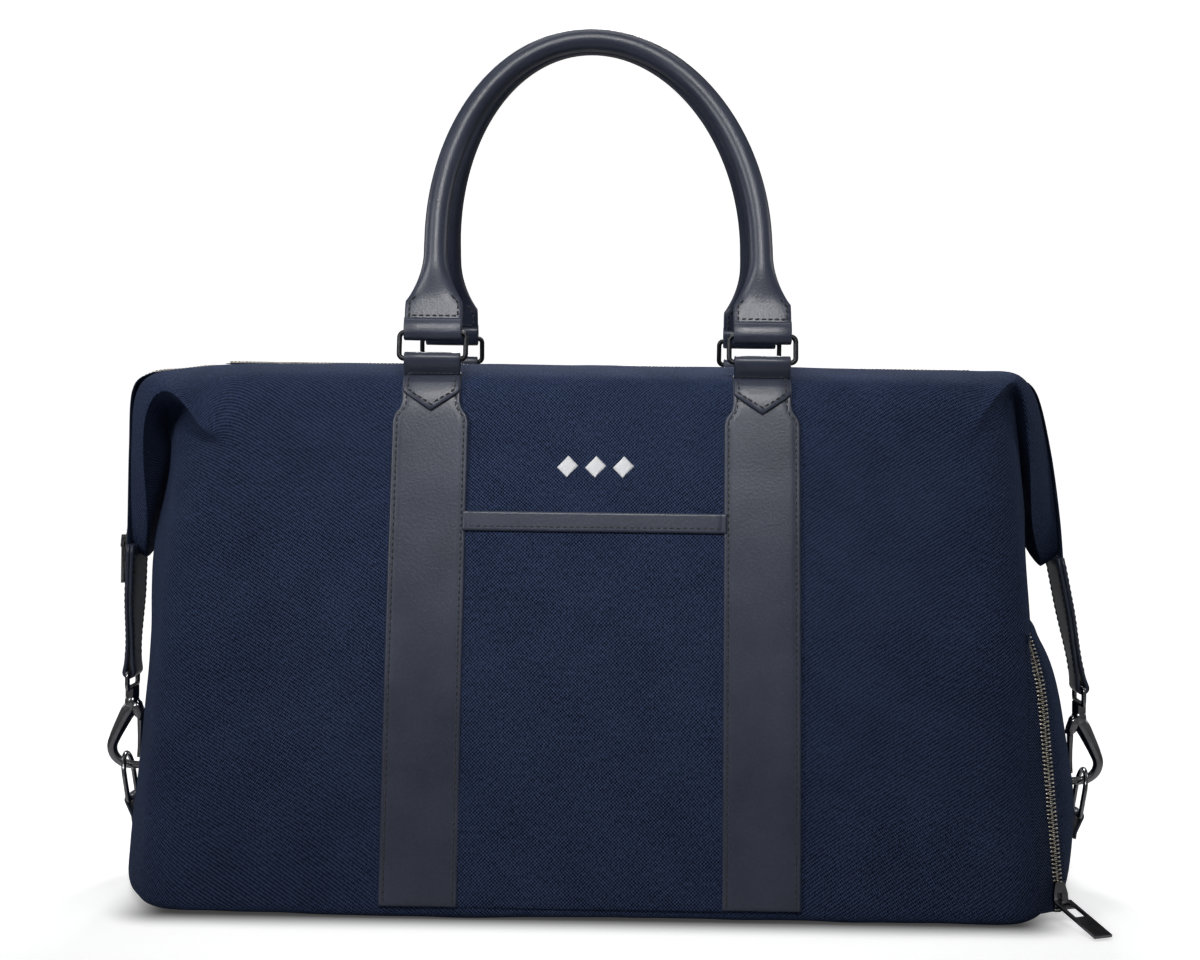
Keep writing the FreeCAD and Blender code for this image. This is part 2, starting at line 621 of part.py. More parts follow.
def make_swivel_eye(side):
    """The wire eye in the tab's loop, with the swivel barrel under it."""
    body = new_body(side + "_swivel_eye")
    path = chain(body, "path", "YZ_Plane",
                 rounded_loop(size("eye_half"), -size("eye_drop"), 0, size("eye_corner")))
    wire = circle(body, "wire", "XZ_Plane", "0", "-Dims.eye_drop", "Dims.eye_wire")
    pipe(body, "AdditivePipe", path, wire)
    barrel = circle(body, "barrel", "XY_Plane", "0", "0", "Dims.barrel_radius", "0.7 - Dims.eye_drop")
    feature(body, "Pad", barrel, "Dims.barrel_length", backwards=True)
    bore = circle(body, "bore", "XY_Plane", "0", "0", "Dims.post_bore",
                  "0.7 - Dims.eye_drop - Dims.barrel_length")
    feature(body, "Pocket", bore, "Dims.barrel_length / 2", backwards=True)
    keep(body.Label, at_hook(side, body))


def make_snap_hook(side):
    """The hook's round back, the shoulder it hangs by and the two cheeks for the gate."""
    body = new_body(side + "_hook")
    centre = (-size("hook_shift"), -size("hook_centre"))
    path = chain(body, "path", "XZ_Plane", [bow(*centre, size("hook_radius"), -90, 90)])
    wire = circle(body, "wire", "YZ_Plane", "0", "Dims.hook_radius - Dims.hook_centre",
                  "Dims.hook_wire", "-Dims.hook_shift")
    pipe(body, "AdditivePipe", path, wire)
    shoulder = circle(body, "shoulder", "XY_Plane", "0", "0", "Dims.barrel_radius",
                      "Dims.hook_radius - Dims.hook_centre - 1")
    feature(body, "Pad", shoulder, "Dims.hook_radius / 3")
    post = circle(body, "post", "XY_Plane", "0", "0", "Dims.post_radius",
                  "Dims.hook_radius - Dims.hook_centre + 4")
    feature(body, "Pad", post, "5")
    cheeks = polygon(body, "cheeks", "XZ_Plane",
                     box_outline("-Dims.hook_shift - 3.6", "-Dims.gate_pivot - 2",
                                 "-Dims.hook_shift + 1.4", "Dims.hook_radius - Dims.hook_centre"))
    feature(body, "Pad", cheeks, "3.2 * Dims.hook_wire", both_ways=True)
    gap = polygon(body, "gap", "XZ_Plane",
                  box_outline("-Dims.hook_shift - 6", "-Dims.gate_pivot - 9",
                              "-Dims.hook_shift + 4", "2.6 - Dims.gate_pivot"))
    feature(body, "Pocket", gap, "2 * Dims.hook_wire", both_ways=True)
    bore = circle(body, "bore", "XZ_Plane", "-Dims.hook_shift - Dims.gate_inset", "-Dims.gate_pivot",
                  "Dims.pin_bore")
    feature(body, "Pocket", bore, "8 * Dims.hook_wire", both_ways=True)
    keep(body.Label, at_hook(side, body))


def make_gate(side):
    """The sprung bar that closes the hook, and the pin it turns on."""
    body = new_body(side + "_gate")
    across = "-Dims.hook_shift - Dims.gate_inset"
    knuckle = circle(body, "knuckle", "XZ_Plane", across, "-Dims.gate_pivot", "Dims.gate_radius + 0.6")
    feature(body, "Pad", knuckle, "1.7 * Dims.hook_wire", both_ways=True)
    bar = circle(body, "bar", "XY_Plane", across, "0", "Dims.gate_radius", "-Dims.gate_pivot - 1")
    feature(body, "Pad", bar, "Dims.gate_length - 2", backwards=True)
    bore = circle(body, "bore", "XZ_Plane", across, "-Dims.gate_pivot", "Dims.pin_bore")
    feature(body, "Pocket", bore, "8 * Dims.hook_wire", both_ways=True)
    keep(body.Label, at_hook(side, body))
    pin = new_body(side + "_gate_pin")
    rod = circle(pin, "rod", "XZ_Plane", across, "-Dims.gate_pivot", "Dims.pin_radius")
    feature(pin, "Pad", rod, "3.6 * Dims.hook_wire", both_ways=True)
    keep(pin.Label, at_hook(side, pin))


def make_d_ring(side):
    """The D-ring that the hook clips to, and the leather keeper stitched to the end."""
    reach = size(side + "_bar_reach")
    height = size(side + "_bar_height")
    radius = size("ring_d_radius")
    top = size("ring_d_side")
    corner = size("ring_d_corner")
    body = new_body(side + "_d_ring")
    curves = [line(0, 0, radius - corner, 0), bow(radius - corner, corner, corner, -90, 0),
              line(radius, corner, radius, top), bow(0, top, radius, 0, 180),
              line(-radius, top, -radius, corner), bow(corner - radius, corner, corner, 180, 270),
              line(corner - radius, 0, 0, 0)]
    path = chain(body, "path", "YZ_Plane", curves)
    wire = circle(body, "wire", "XZ_Plane", "0", "0", "Dims.ring_d_wire")
    pipe(body, "AdditivePipe", path, wire)
    keep(body.Label, facing(side, body, reach, height, size("ring_d_lean")))
    keeper = new_body(side + "_keeper")
    outline = box_outline("-Dims.keeper_half", "-Dims.keeper_length", "Dims.keeper_half", "0")
    leaf = polygon(keeper, "leaf", "YZ_Plane", outline, "-Dims.keeper_back")
    feature(keeper, "Pad", leaf, "Dims.keeper_thickness + 0.6")
    loop = circle(keeper, "loop", "XZ_Plane", "0", "0", "Dims.keeper_loop")
    feature(keeper, "Pad", loop, "2 * Dims.keeper_half", both_ways=True)
    bore = circle(keeper, "bore", "XZ_Plane", "0", "0", "Dims.keeper_bore")
    feature(keeper, "Pocket", bore, "4 * Dims.keeper_half", both_ways=True)
    keep(keeper.Label, facing(side, keeper, reach, height, size("keeper_tilt")))


# ---------------------------------------------------------------- zip sliders

def make_slider(label, lift):
    """A zip slider's upper plate with the bail that holds its pull."""
    body = new_body(label)
    half = "Dims.slider_width / 2"
    long_half = "Dims.slider_length / 2"
    plate = polygon(body, "plate", "YZ_Plane",
                    [("-" + half, "-" + long_half), (half, "-" + long_half), (half, "0"),
                     (half + " - 1.5", long_half), ("-" + half + " + 1.5", long_half), ("-" + half, "0")], lift)
    feature(body, "Pad", plate, "Dims.slider_plate")
    bail = polygon(body, "bail", "XZ_Plane",
                   box_outline(lift + " + Dims.slider_plate - Dims.bail_sink", "-Dims.slider_length / 2",
                               lift + " + Dims.slider_plate + Dims.bail_height", "1"))
    feature(body, "Pad", bail, "Dims.bail_width", both_ways=True)
    eye = circle(body, "eye", "XZ_Plane", lift + " + Dims.slider_plate + Dims.bail_eye",
                 "-Dims.slider_length / 3", "Dims.bail_bore")
    feature(body, "Pocket", eye, "2 * Dims.slider_width", both_ways=True)
    return body


def make_pull(label, width, length):
    """A zip pull: a plate with an open loop, two cheeks and the pin between them."""
    body = new_body(label)
    half = "%s / 2" % width
    plate = polygon(body, "plate", "YZ_Plane", box_outline("-" + half, "-" + length, half, "Dims.pull_top"))
    feature(body, "Pad", plate, "Dims.pull_thickness", both_ways=True)
    gap_half = "Dims.pull_gap / 2"
    gap = polygon(body, "gap", "YZ_Plane",
                  box_outline("-" + gap_half, "-Dims.bail_height - 1.6", gap_half, "3 * Dims.pull_top"))
    feature(body, "Pocket", gap, "6 * Dims.pull_thickness", both_ways=True)
    window = polygon(body, "window", "YZ_Plane",
                     box_outline("Dims.pull_frame - " + half, "-%s * 0.45" % length,
                                 half + " - Dims.pull_frame", "-2 * Dims.bail_height"))
    feature(body, "Pocket", window, "6 * Dims.pull_thickness", both_ways=True)
    pin = circle(body, "pin", "XZ_Plane", "0", "0", "Dims.pin_radius")
    feature(body, "Pad", pin, width, both_ways=True)
    return body


def make_zip_sliders():
    """One slider near the tip of the left wing, one at the foot of the shoe zip."""
    above_tape = size("tape_thickness") + size("teeth_height") + size("slider_gap")
    bail = above_tape + size("slider_plate") + size("bail_eye")
    eye_drop = size("slider_length") / 3
    gap = " + Dims.tape_thickness + Dims.teeth_height + Dims.slider_gap"
    slider = make_slider("main_zip_slider", "Dims.wing_thickness" + gap)
    keep("main_zip_slider", on_wing("left", slider, size("slider_drop")))
    pull = make_pull("main_zip_pull", "Dims.pull_width", "Dims.pull_length")
    tilt = math.radians(size("wing_tilt"))
    along = size("slider_drop") + eye_drop
    out = size("wing_thickness") + bail
    reach = size("wing_root") + along * math.sin(tilt) + out * math.cos(tilt)
    level = size("wing_top") - along * math.cos(tilt) + out * math.sin(tilt)
    keep("main_zip_pull", facing("left", pull, reach, level))
    slider = shoe_frame(make_slider("shoe_zip_slider", "Dims.tape_gap" + gap), size("shoe_slider_rise"))
    keep("shoe_zip_slider", slider)
    pivot = slider.Placement.multVec(FreeCAD.Vector(size("tape_gap") + bail, 0, -eye_drop))
    pull = make_pull("shoe_zip_pull", "Dims.shoe_pull_width", "Dims.shoe_pull_length")
    lying = FreeCAD.Rotation(Y_AXIS, -size("shoe_pull_tilt"))
    pull.Placement = FreeCAD.Placement(pivot, slider.Placement.Rotation.multiply(lying))
    keep("shoe_zip_pull", pull)


outer_hull = make_canvas_body()
make_base()
make_top()
make_slip_pocket()
make_straps()
make_chapes()
make_rings()
make_handles()
make_shoe_pocket(outer_hull)
for end in ("left", "right"):
    make_wing(end)
    make_swivel_eye(end)
    make_snap_hook(end)
    make_gate(end)
    make_d_ring(end)
make_zip_sliders()
doc.recompute()

os.makedirs("parts", exist_ok=True)
for item in doc.Objects:
    if "Invalid" in item.State or "Error" in item.State:
        raise RuntimeError("%s did not compute: %s" % (item.Label, item.State))
for label, item in pieces.items():
    shape = item.Shape
    if shape.isNull() or not shape.isValid() or shape.Volume <= 0:
        raise RuntimeError("%s has no valid solid" % label)
    shape.exportStep("parts/%s.step" % label)
    print("%-22s %9.1f mm3  %d solid(s)" % (label, shape.Volume, len(shape.Solids)))
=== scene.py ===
"""Looks for the weekender bag: canvas shell, leather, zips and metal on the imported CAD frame."""
import json
import math

import bpy
from mathutils import Matrix, Vector, noise
from mathutils.bvhtree import BVHTree
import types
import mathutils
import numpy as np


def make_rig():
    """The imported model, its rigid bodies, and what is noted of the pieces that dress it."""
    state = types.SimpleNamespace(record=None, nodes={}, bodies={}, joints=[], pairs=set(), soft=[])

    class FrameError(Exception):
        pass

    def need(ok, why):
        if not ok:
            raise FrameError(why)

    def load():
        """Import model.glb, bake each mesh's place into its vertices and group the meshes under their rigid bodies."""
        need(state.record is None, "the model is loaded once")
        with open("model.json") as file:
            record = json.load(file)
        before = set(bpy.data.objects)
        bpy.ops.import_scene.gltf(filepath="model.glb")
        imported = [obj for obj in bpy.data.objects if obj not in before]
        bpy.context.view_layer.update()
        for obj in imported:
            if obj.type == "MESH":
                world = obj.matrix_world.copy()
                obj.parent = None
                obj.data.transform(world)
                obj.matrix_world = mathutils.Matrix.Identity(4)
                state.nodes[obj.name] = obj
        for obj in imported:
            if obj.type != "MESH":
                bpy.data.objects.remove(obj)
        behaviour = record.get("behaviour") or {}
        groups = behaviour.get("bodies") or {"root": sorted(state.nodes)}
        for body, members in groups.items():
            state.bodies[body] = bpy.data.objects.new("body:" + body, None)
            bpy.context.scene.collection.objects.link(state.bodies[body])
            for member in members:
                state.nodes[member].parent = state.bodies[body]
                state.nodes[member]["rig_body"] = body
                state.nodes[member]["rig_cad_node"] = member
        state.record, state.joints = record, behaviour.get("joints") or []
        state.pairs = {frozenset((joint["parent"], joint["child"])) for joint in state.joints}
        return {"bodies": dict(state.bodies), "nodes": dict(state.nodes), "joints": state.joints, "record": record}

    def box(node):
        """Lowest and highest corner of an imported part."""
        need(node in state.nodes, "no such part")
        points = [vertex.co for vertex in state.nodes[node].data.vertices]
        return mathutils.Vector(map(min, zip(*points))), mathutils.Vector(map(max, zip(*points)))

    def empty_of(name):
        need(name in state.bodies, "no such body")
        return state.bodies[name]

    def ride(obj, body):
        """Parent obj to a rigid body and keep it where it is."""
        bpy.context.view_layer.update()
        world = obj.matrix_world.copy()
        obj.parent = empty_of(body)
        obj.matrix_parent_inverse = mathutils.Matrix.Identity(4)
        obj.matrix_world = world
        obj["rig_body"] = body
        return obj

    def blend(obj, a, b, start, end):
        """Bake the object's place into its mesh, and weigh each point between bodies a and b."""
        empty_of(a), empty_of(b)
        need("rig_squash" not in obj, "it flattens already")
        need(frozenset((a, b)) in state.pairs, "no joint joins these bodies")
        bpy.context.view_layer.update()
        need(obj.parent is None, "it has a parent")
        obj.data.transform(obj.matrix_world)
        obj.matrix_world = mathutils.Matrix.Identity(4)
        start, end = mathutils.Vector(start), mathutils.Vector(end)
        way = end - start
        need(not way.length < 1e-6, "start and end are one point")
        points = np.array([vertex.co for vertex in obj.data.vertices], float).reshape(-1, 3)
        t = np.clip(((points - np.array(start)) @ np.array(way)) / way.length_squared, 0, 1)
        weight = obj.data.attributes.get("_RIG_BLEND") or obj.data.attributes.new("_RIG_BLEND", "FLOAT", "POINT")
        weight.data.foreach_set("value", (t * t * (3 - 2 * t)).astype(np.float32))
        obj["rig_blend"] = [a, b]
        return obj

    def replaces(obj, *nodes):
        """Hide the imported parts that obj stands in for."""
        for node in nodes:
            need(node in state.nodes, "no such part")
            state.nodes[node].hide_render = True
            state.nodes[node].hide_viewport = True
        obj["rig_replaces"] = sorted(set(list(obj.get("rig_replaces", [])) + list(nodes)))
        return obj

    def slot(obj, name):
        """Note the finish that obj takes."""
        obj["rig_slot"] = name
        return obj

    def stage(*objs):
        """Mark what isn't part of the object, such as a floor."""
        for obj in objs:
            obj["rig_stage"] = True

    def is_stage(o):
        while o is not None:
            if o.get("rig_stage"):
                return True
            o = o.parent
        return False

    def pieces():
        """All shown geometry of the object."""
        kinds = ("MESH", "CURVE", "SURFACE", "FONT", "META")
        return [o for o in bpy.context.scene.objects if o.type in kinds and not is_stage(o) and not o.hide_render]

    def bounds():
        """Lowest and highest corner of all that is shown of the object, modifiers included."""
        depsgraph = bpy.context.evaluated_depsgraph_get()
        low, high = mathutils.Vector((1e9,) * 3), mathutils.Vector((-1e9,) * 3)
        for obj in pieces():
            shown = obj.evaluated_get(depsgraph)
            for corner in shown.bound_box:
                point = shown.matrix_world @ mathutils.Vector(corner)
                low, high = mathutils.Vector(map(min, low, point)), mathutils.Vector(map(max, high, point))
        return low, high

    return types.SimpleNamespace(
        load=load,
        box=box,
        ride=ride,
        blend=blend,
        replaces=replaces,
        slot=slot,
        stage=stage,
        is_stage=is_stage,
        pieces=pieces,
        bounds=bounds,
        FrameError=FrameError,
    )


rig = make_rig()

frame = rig.load()
cad_low, cad_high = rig.bounds()

MM = 0.001
JOINTS = {joint["name"]: joint for joint in frame["joints"]}
UP = Vector((0, 0, 1))


def mm_box(node):
    """A CAD node's corners in millimetres."""
    low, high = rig.box(node)
    return Vector(low) / MM, Vector(high) / MM


def pivot(joint):
    """Where a hinge's axis passes, in millimetres."""
    return Vector(JOINTS[joint]["pos_m"]) / MM


def clamped(value, low, high):
    """How far value is on its way from low to high, kept between 0 and 1."""
    return min(max((value - low) / (high - low), 0), 1)


def eased(share):
    """A share from 0 to 1 that starts and ends gently."""
    return share * share * (3 - 2 * share)


def stand_in(piece, body, *nodes):
    """Let a piece ride on a body and stand for its CAD nodes."""
    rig.ride(piece, body)
    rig.replaces(piece, *nodes)


# ---------------------------------------------------------------- materials

def feed(tree, made, **inputs):
    """Link or set a shader node's inputs; a name that isn't an input is a property."""
    for name, value in inputs.items():
        label = name.replace("_", " ")
        if label not in made.inputs:
            setattr(made, name, value)
        elif isinstance(value, bpy.types.NodeSocket):
            tree.links.new(value, made.inputs[label])
        else:
            made.inputs[label].default_value = value
    return made


def node(tree, kind, **inputs):
    """A new shader node with some of its inputs fed."""
    return feed(tree, tree.nodes.new("ShaderNode" + kind), **inputs)


def new_material(name):
    """A material with its node tree and its Principled shader, ready to feed."""
    material = bpy.data.materials.new(name)
    material.use_nodes = True
    return material, material.node_tree, material.node_tree.nodes["Principled BSDF"]


def math_node(tree, operation, *values):
    """One step of arithmetic on sockets or numbers."""
    made = node(tree, "Math", operation=operation)
    for socket, value in zip(made.inputs, values):
        if isinstance(value, (int, float)):
            socket.default_value = value
        else:
            tree.links.new(value, socket)
    return made.outputs[0]


def weighted(tree, *terms, start=0.0):
    """The sum of sockets, each times its own number, on top of start."""
    total = start
    for socket, factor in terms:
        total = math_node(tree, "ADD", math_node(tree, "MULTIPLY", socket, factor), total)
    return total


def ramp(tree, value, low, dark, high, light):
    """A colour that goes from dark where value is low to light where it is high."""
    made = node(tree, "ValToRGB", Fac=value)
    for element, position, colour in zip(made.color_ramp.elements, (low, high), (dark, light)):
        element.position = position
        element.color = (*colour, 1)
    return made.outputs[0]


def texture(tree, place, kind, **inputs):
    """A procedural texture read at a coordinate socket; gives its grey output."""
    made = node(tree, "Tex" + kind, Vector=place, **inputs)
    return made.outputs["Distance" if kind == "Voronoi" else "Fac"]


def bump(tree, height, strength, distance):
    """A normal raised by a height socket, given in units of distance (metres)."""
    return node(tree, "Bump", Strength=strength, Distance=distance, Height=height).outputs[0]


HERRINGBONE = 9.0
YARN_SCALE = (900, 420, 1)


def woven_material(name, dark, light, pitch, plain=True):
    """Plain-weave canvas or herringbone tape: yarns in two directions from the cloth coordinates."""
    material, tree, shader = new_material(name)
    cloth = node(tree, "UVMap", uv_map="cloth").outputs[0]
    split = node(tree, "SeparateXYZ", Vector=cloth)
    turns = 2 * math.pi / pitch
    across, along = (math_node(tree, "MULTIPLY", split.outputs[axis], turns) for axis in (0, 1))
    if plain:
        height = math_node(tree, "MULTIPLY", math_node(tree, "SINE", across), math_node(tree, "SINE", along))
    else:
        zigzag = math_node(tree, "PINGPONG", across, HERRINGBONE)
        height = math_node(tree, "SINE", math_node(tree, "ADD", zigzag, along))
    stretched = node(tree, "Mapping", Vector=cloth, Scale=YARN_SCALE).outputs[0]
    yarn = texture(tree, stretched, "Noise", Scale=1.0, Detail=2.0, Roughness=0.6)
    cloud = texture(tree, cloth, "Noise", Scale=26.0, Detail=4.0, Roughness=0.65)
    shade = weighted(tree, (height, 0.34), (yarn, 0.75), (cloud, 0.25))
    feed(tree, shader, Base_Color=ramp(tree, shade, 0.22, dark, 0.80, light), Roughness=0.9,
         Sheen_Weight=0.05, Sheen_Roughness=0.4, Sheen_Tint=(0.4, 0.55, 1.0, 1), Specular_IOR_Level=0.08,
         Normal=bump(tree, height, 0.6, 0.14 * pitch))
    return material


def leather_material(name, dark, light, roughness):
    """Fine-grained smooth leather: small pebbles, faint pores and a slow change of shade."""
    material, tree, shader = new_material(name)
    place = node(tree, "TexCoord").outputs["Object"]
    grain = texture(tree, place, "Voronoi", Scale=900.0, feature="SMOOTH_F1")
    pores = texture(tree, place, "Noise", Scale=1600.0, Detail=3.0)
    cloud = texture(tree, place, "Noise", Scale=22.0, Detail=5.0, Roughness=0.6)
    shade = weighted(tree, (cloud, 0.8), (grain, 0.35))
    feed(tree, shader, Base_Color=ramp(tree, shade, 0.2, dark, 0.9, light),
         Roughness=weighted(tree, (cloud, 0.18), start=roughness - 0.08),
         Normal=bump(tree, weighted(tree, (grain, 1.0), (pores, 0.4)), 0.22, 0.0003))
    return material


def metal_material(name, colour, roughness):
    """Plated metal with faint smears and brushed scratches."""
    material, tree, shader = new_material(name)
    place = node(tree, "TexCoord").outputs["Object"]
    smear = texture(tree, place, "Noise", Scale=160.0, Detail=4.0)
    scratch = texture(tree, place, "Noise", Scale=2500.0, Detail=2.0)
    bright = tuple(min(1, 1.5 * value) for value in colour)
    feed(tree, shader, Base_Color=ramp(tree, smear, 0.3, colour, 0.75, bright), Metallic=1.0,
         Roughness=weighted(tree, (smear, 0.15), start=roughness - 0.075),
         Normal=bump(tree, scratch, 0.08, 0.0001))
    return material


def thread_material(name, dark, light, roughness):
    """Twisted sewing thread."""
    material, tree, shader = new_material(name)
    place = node(tree, "TexCoord").outputs["Object"]
    twist = texture(tree, place, "Wave", Scale=900.0, Distortion=1.5)
    feed(tree, shader, Base_Color=ramp(tree, twist, 0.0, dark, 1.0, light), Roughness=roughness,
         Sheen_Weight=0.3, Normal=bump(tree, twist, 0.3, 0.0001))
    return material


CANVAS = woven_material("navy_canvas", (0.0002, 0.0006, 0.0050), (0.0440, 0.0660, 0.1400), 0.0020)
TAPE = woven_material("zip_tape_weave", (0.0015, 0.0030, 0.0120), (0.0420, 0.0600, 0.1150), 0.0018,
                      plain=False)
LEATHER = leather_material("slate_leather", (0.014, 0.0185, 0.034), (0.047, 0.056, 0.088), 0.36)
BLACK_NICKEL = metal_material("black_nickel", (0.16, 0.16, 0.17), 0.17)
SATIN_BLACK = metal_material("satin_black_metal", (0.030, 0.031, 0.034), 0.40)
TEETH_METAL = metal_material("antique_nickel", (0.34, 0.32, 0.28), 0.24)
NAVY_THREAD = thread_material("navy_thread", (0.0010, 0.0016, 0.0050), (0.0040, 0.0060, 0.0160), 0.6)
WHITE_THREAD = thread_material("white_thread", (0.62, 0.64, 0.68), (0.95, 0.95, 0.96), 0.45)
CORD = thread_material("cord_core", (0.40, 0.37, 0.31), (0.62, 0.58, 0.50), 0.8)
BOARD = leather_material("board_black", (0.008, 0.008, 0.010), (0.018, 0.018, 0.022), 0.7)


# ---------------------------------------------------------------- mesh helpers

def mesh_object(name, points, faces, material, slot, cloth=None):
    """An object from points in millimetres; cloth gives each point its place on the flat cloth."""
    mesh = bpy.data.meshes.new(name)
    mesh.from_pydata([tuple(Vector(point) * MM) for point in points], [], faces)
    if cloth:
        layer = mesh.uv_layers.new(name="cloth")
        for loop in mesh.loops:
            layer.data[loop.index].uv = cloth[loop.vertex_index]
    mesh.polygons.foreach_set("use_smooth", [True] * len(mesh.polygons))
    mesh.materials.append(material)
    made = bpy.data.objects.new(name, mesh)
    bpy.context.scene.collection.objects.link(made)
    if slot:
        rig.slot(made, slot)
    return made


def grid_faces(rows, columns, wrap=False, start=0):
    """Quads over a rows x columns grid of points; wrap joins the last column to the first."""
    faces = []
    for row in range(rows - 1):
        for column in range(columns if wrap else columns - 1):
            right = (column + 1) % columns
            a = start + row * columns + column
            b = start + row * columns + right
            faces.append((a, b, b + columns, a + columns))
    return faces
def tube_faces(rows, columns, start=0):
    """Quads round a tube of closed rings, with a cap on each end."""
    end = start + (rows - 1) * columns
    caps = [tuple(reversed(range(start, start + columns))), tuple(range(end, end + columns))]
    return grid_faces(rows, columns, wrap=True, start=start) + caps


def running(points):
    """The distance travelled up to each point of a path."""
    travelled = [0.0]
    for here, there in zip(points, points[1:]):
        travelled.append(travelled[-1] + (there - here).length)
    return travelled


HALF_TURN = [math.pi * step / 12 for step in range(13)]


def square_to(outward, forward):
    """The unit vector nearest to outward that is square to the unit vector forward."""
    return (outward - forward * outward.dot(forward)).normalized()


def stations(path, normals, first, pitch):
    """Places every pitch millimetres along a path: centre, direction and outward normal."""
    travelled = running(path)
    index = 0
    wanted = first
    while wanted < travelled[-1]:
        while index < len(path) - 2 and travelled[index + 1] < wanted:
            index += 1
        here, there = path[index:index + 2]
        share = (wanted - travelled[index]) / max(travelled[index + 1] - travelled[index], 1e-9)
        outward = normals[index].lerp(normals[index + 1], share)
        yield here.lerp(there, share), (there - here).normalized(), outward
        wanted += pitch
def applied(made, levels=0, bevel=0.0, angle=0.6):
    """Bake a bevel and a subdivision into the object's mesh."""
    if bevel:
        modifier = made.modifiers.new("round", "BEVEL")
        modifier.width = bevel * MM
        modifier.segments = 3
        modifier.limit_method = "ANGLE"
        modifier.angle_limit = angle
    if levels:
        modifier = made.modifiers.new("smooth", "SUBSURF")
        modifier.levels = levels
        modifier.render_levels = levels
    depsgraph = bpy.context.evaluated_depsgraph_get()
    mesh = bpy.data.meshes.new_from_object(made.evaluated_get(depsgraph))
    mesh.name = made.name
    made.modifiers.clear()
    made.data = mesh
    mesh.polygons.foreach_set("use_smooth", [True] * len(mesh.polygons))
    return made


def smooth_path(points, step):
    """A Catmull-Rom curve through points, sampled about every step millimetres."""
    points = [Vector(point) for point in points]
    padded = [2 * points[0] - points[1]] + points + [2 * points[-1] - points[-2]]
    curve = []
    for index in range(1, len(padded) - 2):
        before, here, there, after = padded[index - 1:index + 3]
        count = max(1, round((there - here).length / step))
        for part in range(count):
            t = part / count
            curve.append(0.5 * ((2 * here) + (there - before) * t
                                + (2 * before - 5 * here + 4 * there - after) * t ** 2
                                + (3 * here - before - 3 * there + after) * t ** 3))
    curve.append(points[-1])
    return curve


def sweep(name, path, normals, profile, material, slot):
    """Carry a closed profile along a path; profile(index) gives (across, outward) pairs in millimetres."""
    last = len(path) - 1
    points = []
    cloth = []
    for index, travelled in enumerate(running(path)):
        forward = (path[min(index + 1, last)] - path[max(index - 1, 0)]).normalized()
        outward = square_to(normals[index], forward)
        across = forward.cross(outward)
        ring = [Vector(pair) for pair in profile(index)]
        points += [path[index] + across * a + outward * b for a, b in ring]
        cloth += [(around * MM, travelled * MM) for around in running(ring)]
    return mesh_object(name, points, tube_faces(len(path), len(ring)), material, slot, cloth)


def ring_profile(radius_across, radius_out, count=20, power=2.0):
    """A closed round or squarish outline."""
    outline = []
    for step in range(count):
        angle = 2 * math.pi * step / count
        cosine, sine = math.cos(angle), math.sin(angle)
        outline.append((radius_across * math.copysign(abs(cosine) ** (2 / power), cosine),
                        radius_out * math.copysign(abs(sine) ** (2 / power), sine)))
    return outline


def strip_profile(half, thickness, edge=0.8):
    """A flat strip with softly rounded edges, lying on outward = 0."""
    top = [(half, thickness * 0.55), (half - edge * 0.35, thickness * 0.9), (half - edge, thickness),
           (half * 0.5, thickness * 1.04)]
    left = [(-half, 0.0)] + [(-across, out) for across, out in top]
    right = list(reversed(top)) + [(half, 0.0)]
    return left + [(0, thickness * 1.06)] + right + [(half * 0.5, 0.0), (-half * 0.5, 0.0)]


STITCH_PITCH, STITCH_LENGTH, STITCH_WIDTH = 3.8, 2.9, 1.15
STITCH_IN = 2.7
STITCH_SHAPE = ((-0.5, 0.25), (-0.3, 0.9), (0, 1.0), (0.3, 0.9), (0.5, 0.25))


def stitches(name, curve, normals, body):
    """A row of sewn stitches along a polyline; normals has one outward direction per point."""
    points = []
    faces = []
    outline = ring_profile(0.5 * STITCH_WIDTH, 0.34 * STITCH_WIDTH, 6)
    for centre, forward, outward in stations(curve, normals, STITCH_PITCH / 2, STITCH_PITCH):
        outward.normalize()
        across = forward.cross(outward).normalized()
        faces += tube_faces(len(STITCH_SHAPE), 6, len(points))
        for along, size in STITCH_SHAPE:
            lift = 0.16 * STITCH_WIDTH * (1 - 3.5 * along ** 2)
            middle = centre + forward * (along * STITCH_LENGTH) + outward * lift
            points += [middle + across * (a * size) + outward * (b * size) for a, b in outline]
    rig.ride(mesh_object(name, points, faces, NAVY_THREAD, "leather"), body)


# ---------------------------------------------------------------- canvas shell

BASE_LOW, BASE_HIGH = mm_box("base_panel")
TOP_LOW, TOP_HIGH = mm_box("front_top_panel")
BASE_LEVEL = BASE_HIGH.z
RIM_LEVEL = TOP_LOW.z
HALF_BASE = BASE_HIGH.y
HALF_TOP = -TOP_LOW.y
REACH = {"left": -BASE_LOW.x, "right": BASE_HIGH.x}
REACH_TOP = 250
CORNER = 35
BOW = 221
SIGN = {"left": -1, "right": 1}
TOP_LEVEL = TOP_HIGH.z + 2
HEM = 2.5
ZIP_GAP = 9
STRAP_X = 95.5
# How far the front swells, the right end draws in and each end swells, and at what height, over what band.
FRONT_SWELL = 5
WAIST, WAIST_LEVEL, WAIST_BAND = 7, 175, 28
END_SWELL, SWELL_LEVEL, SWELL_BAND = {"left": 14, "right": 2}, 200, 30


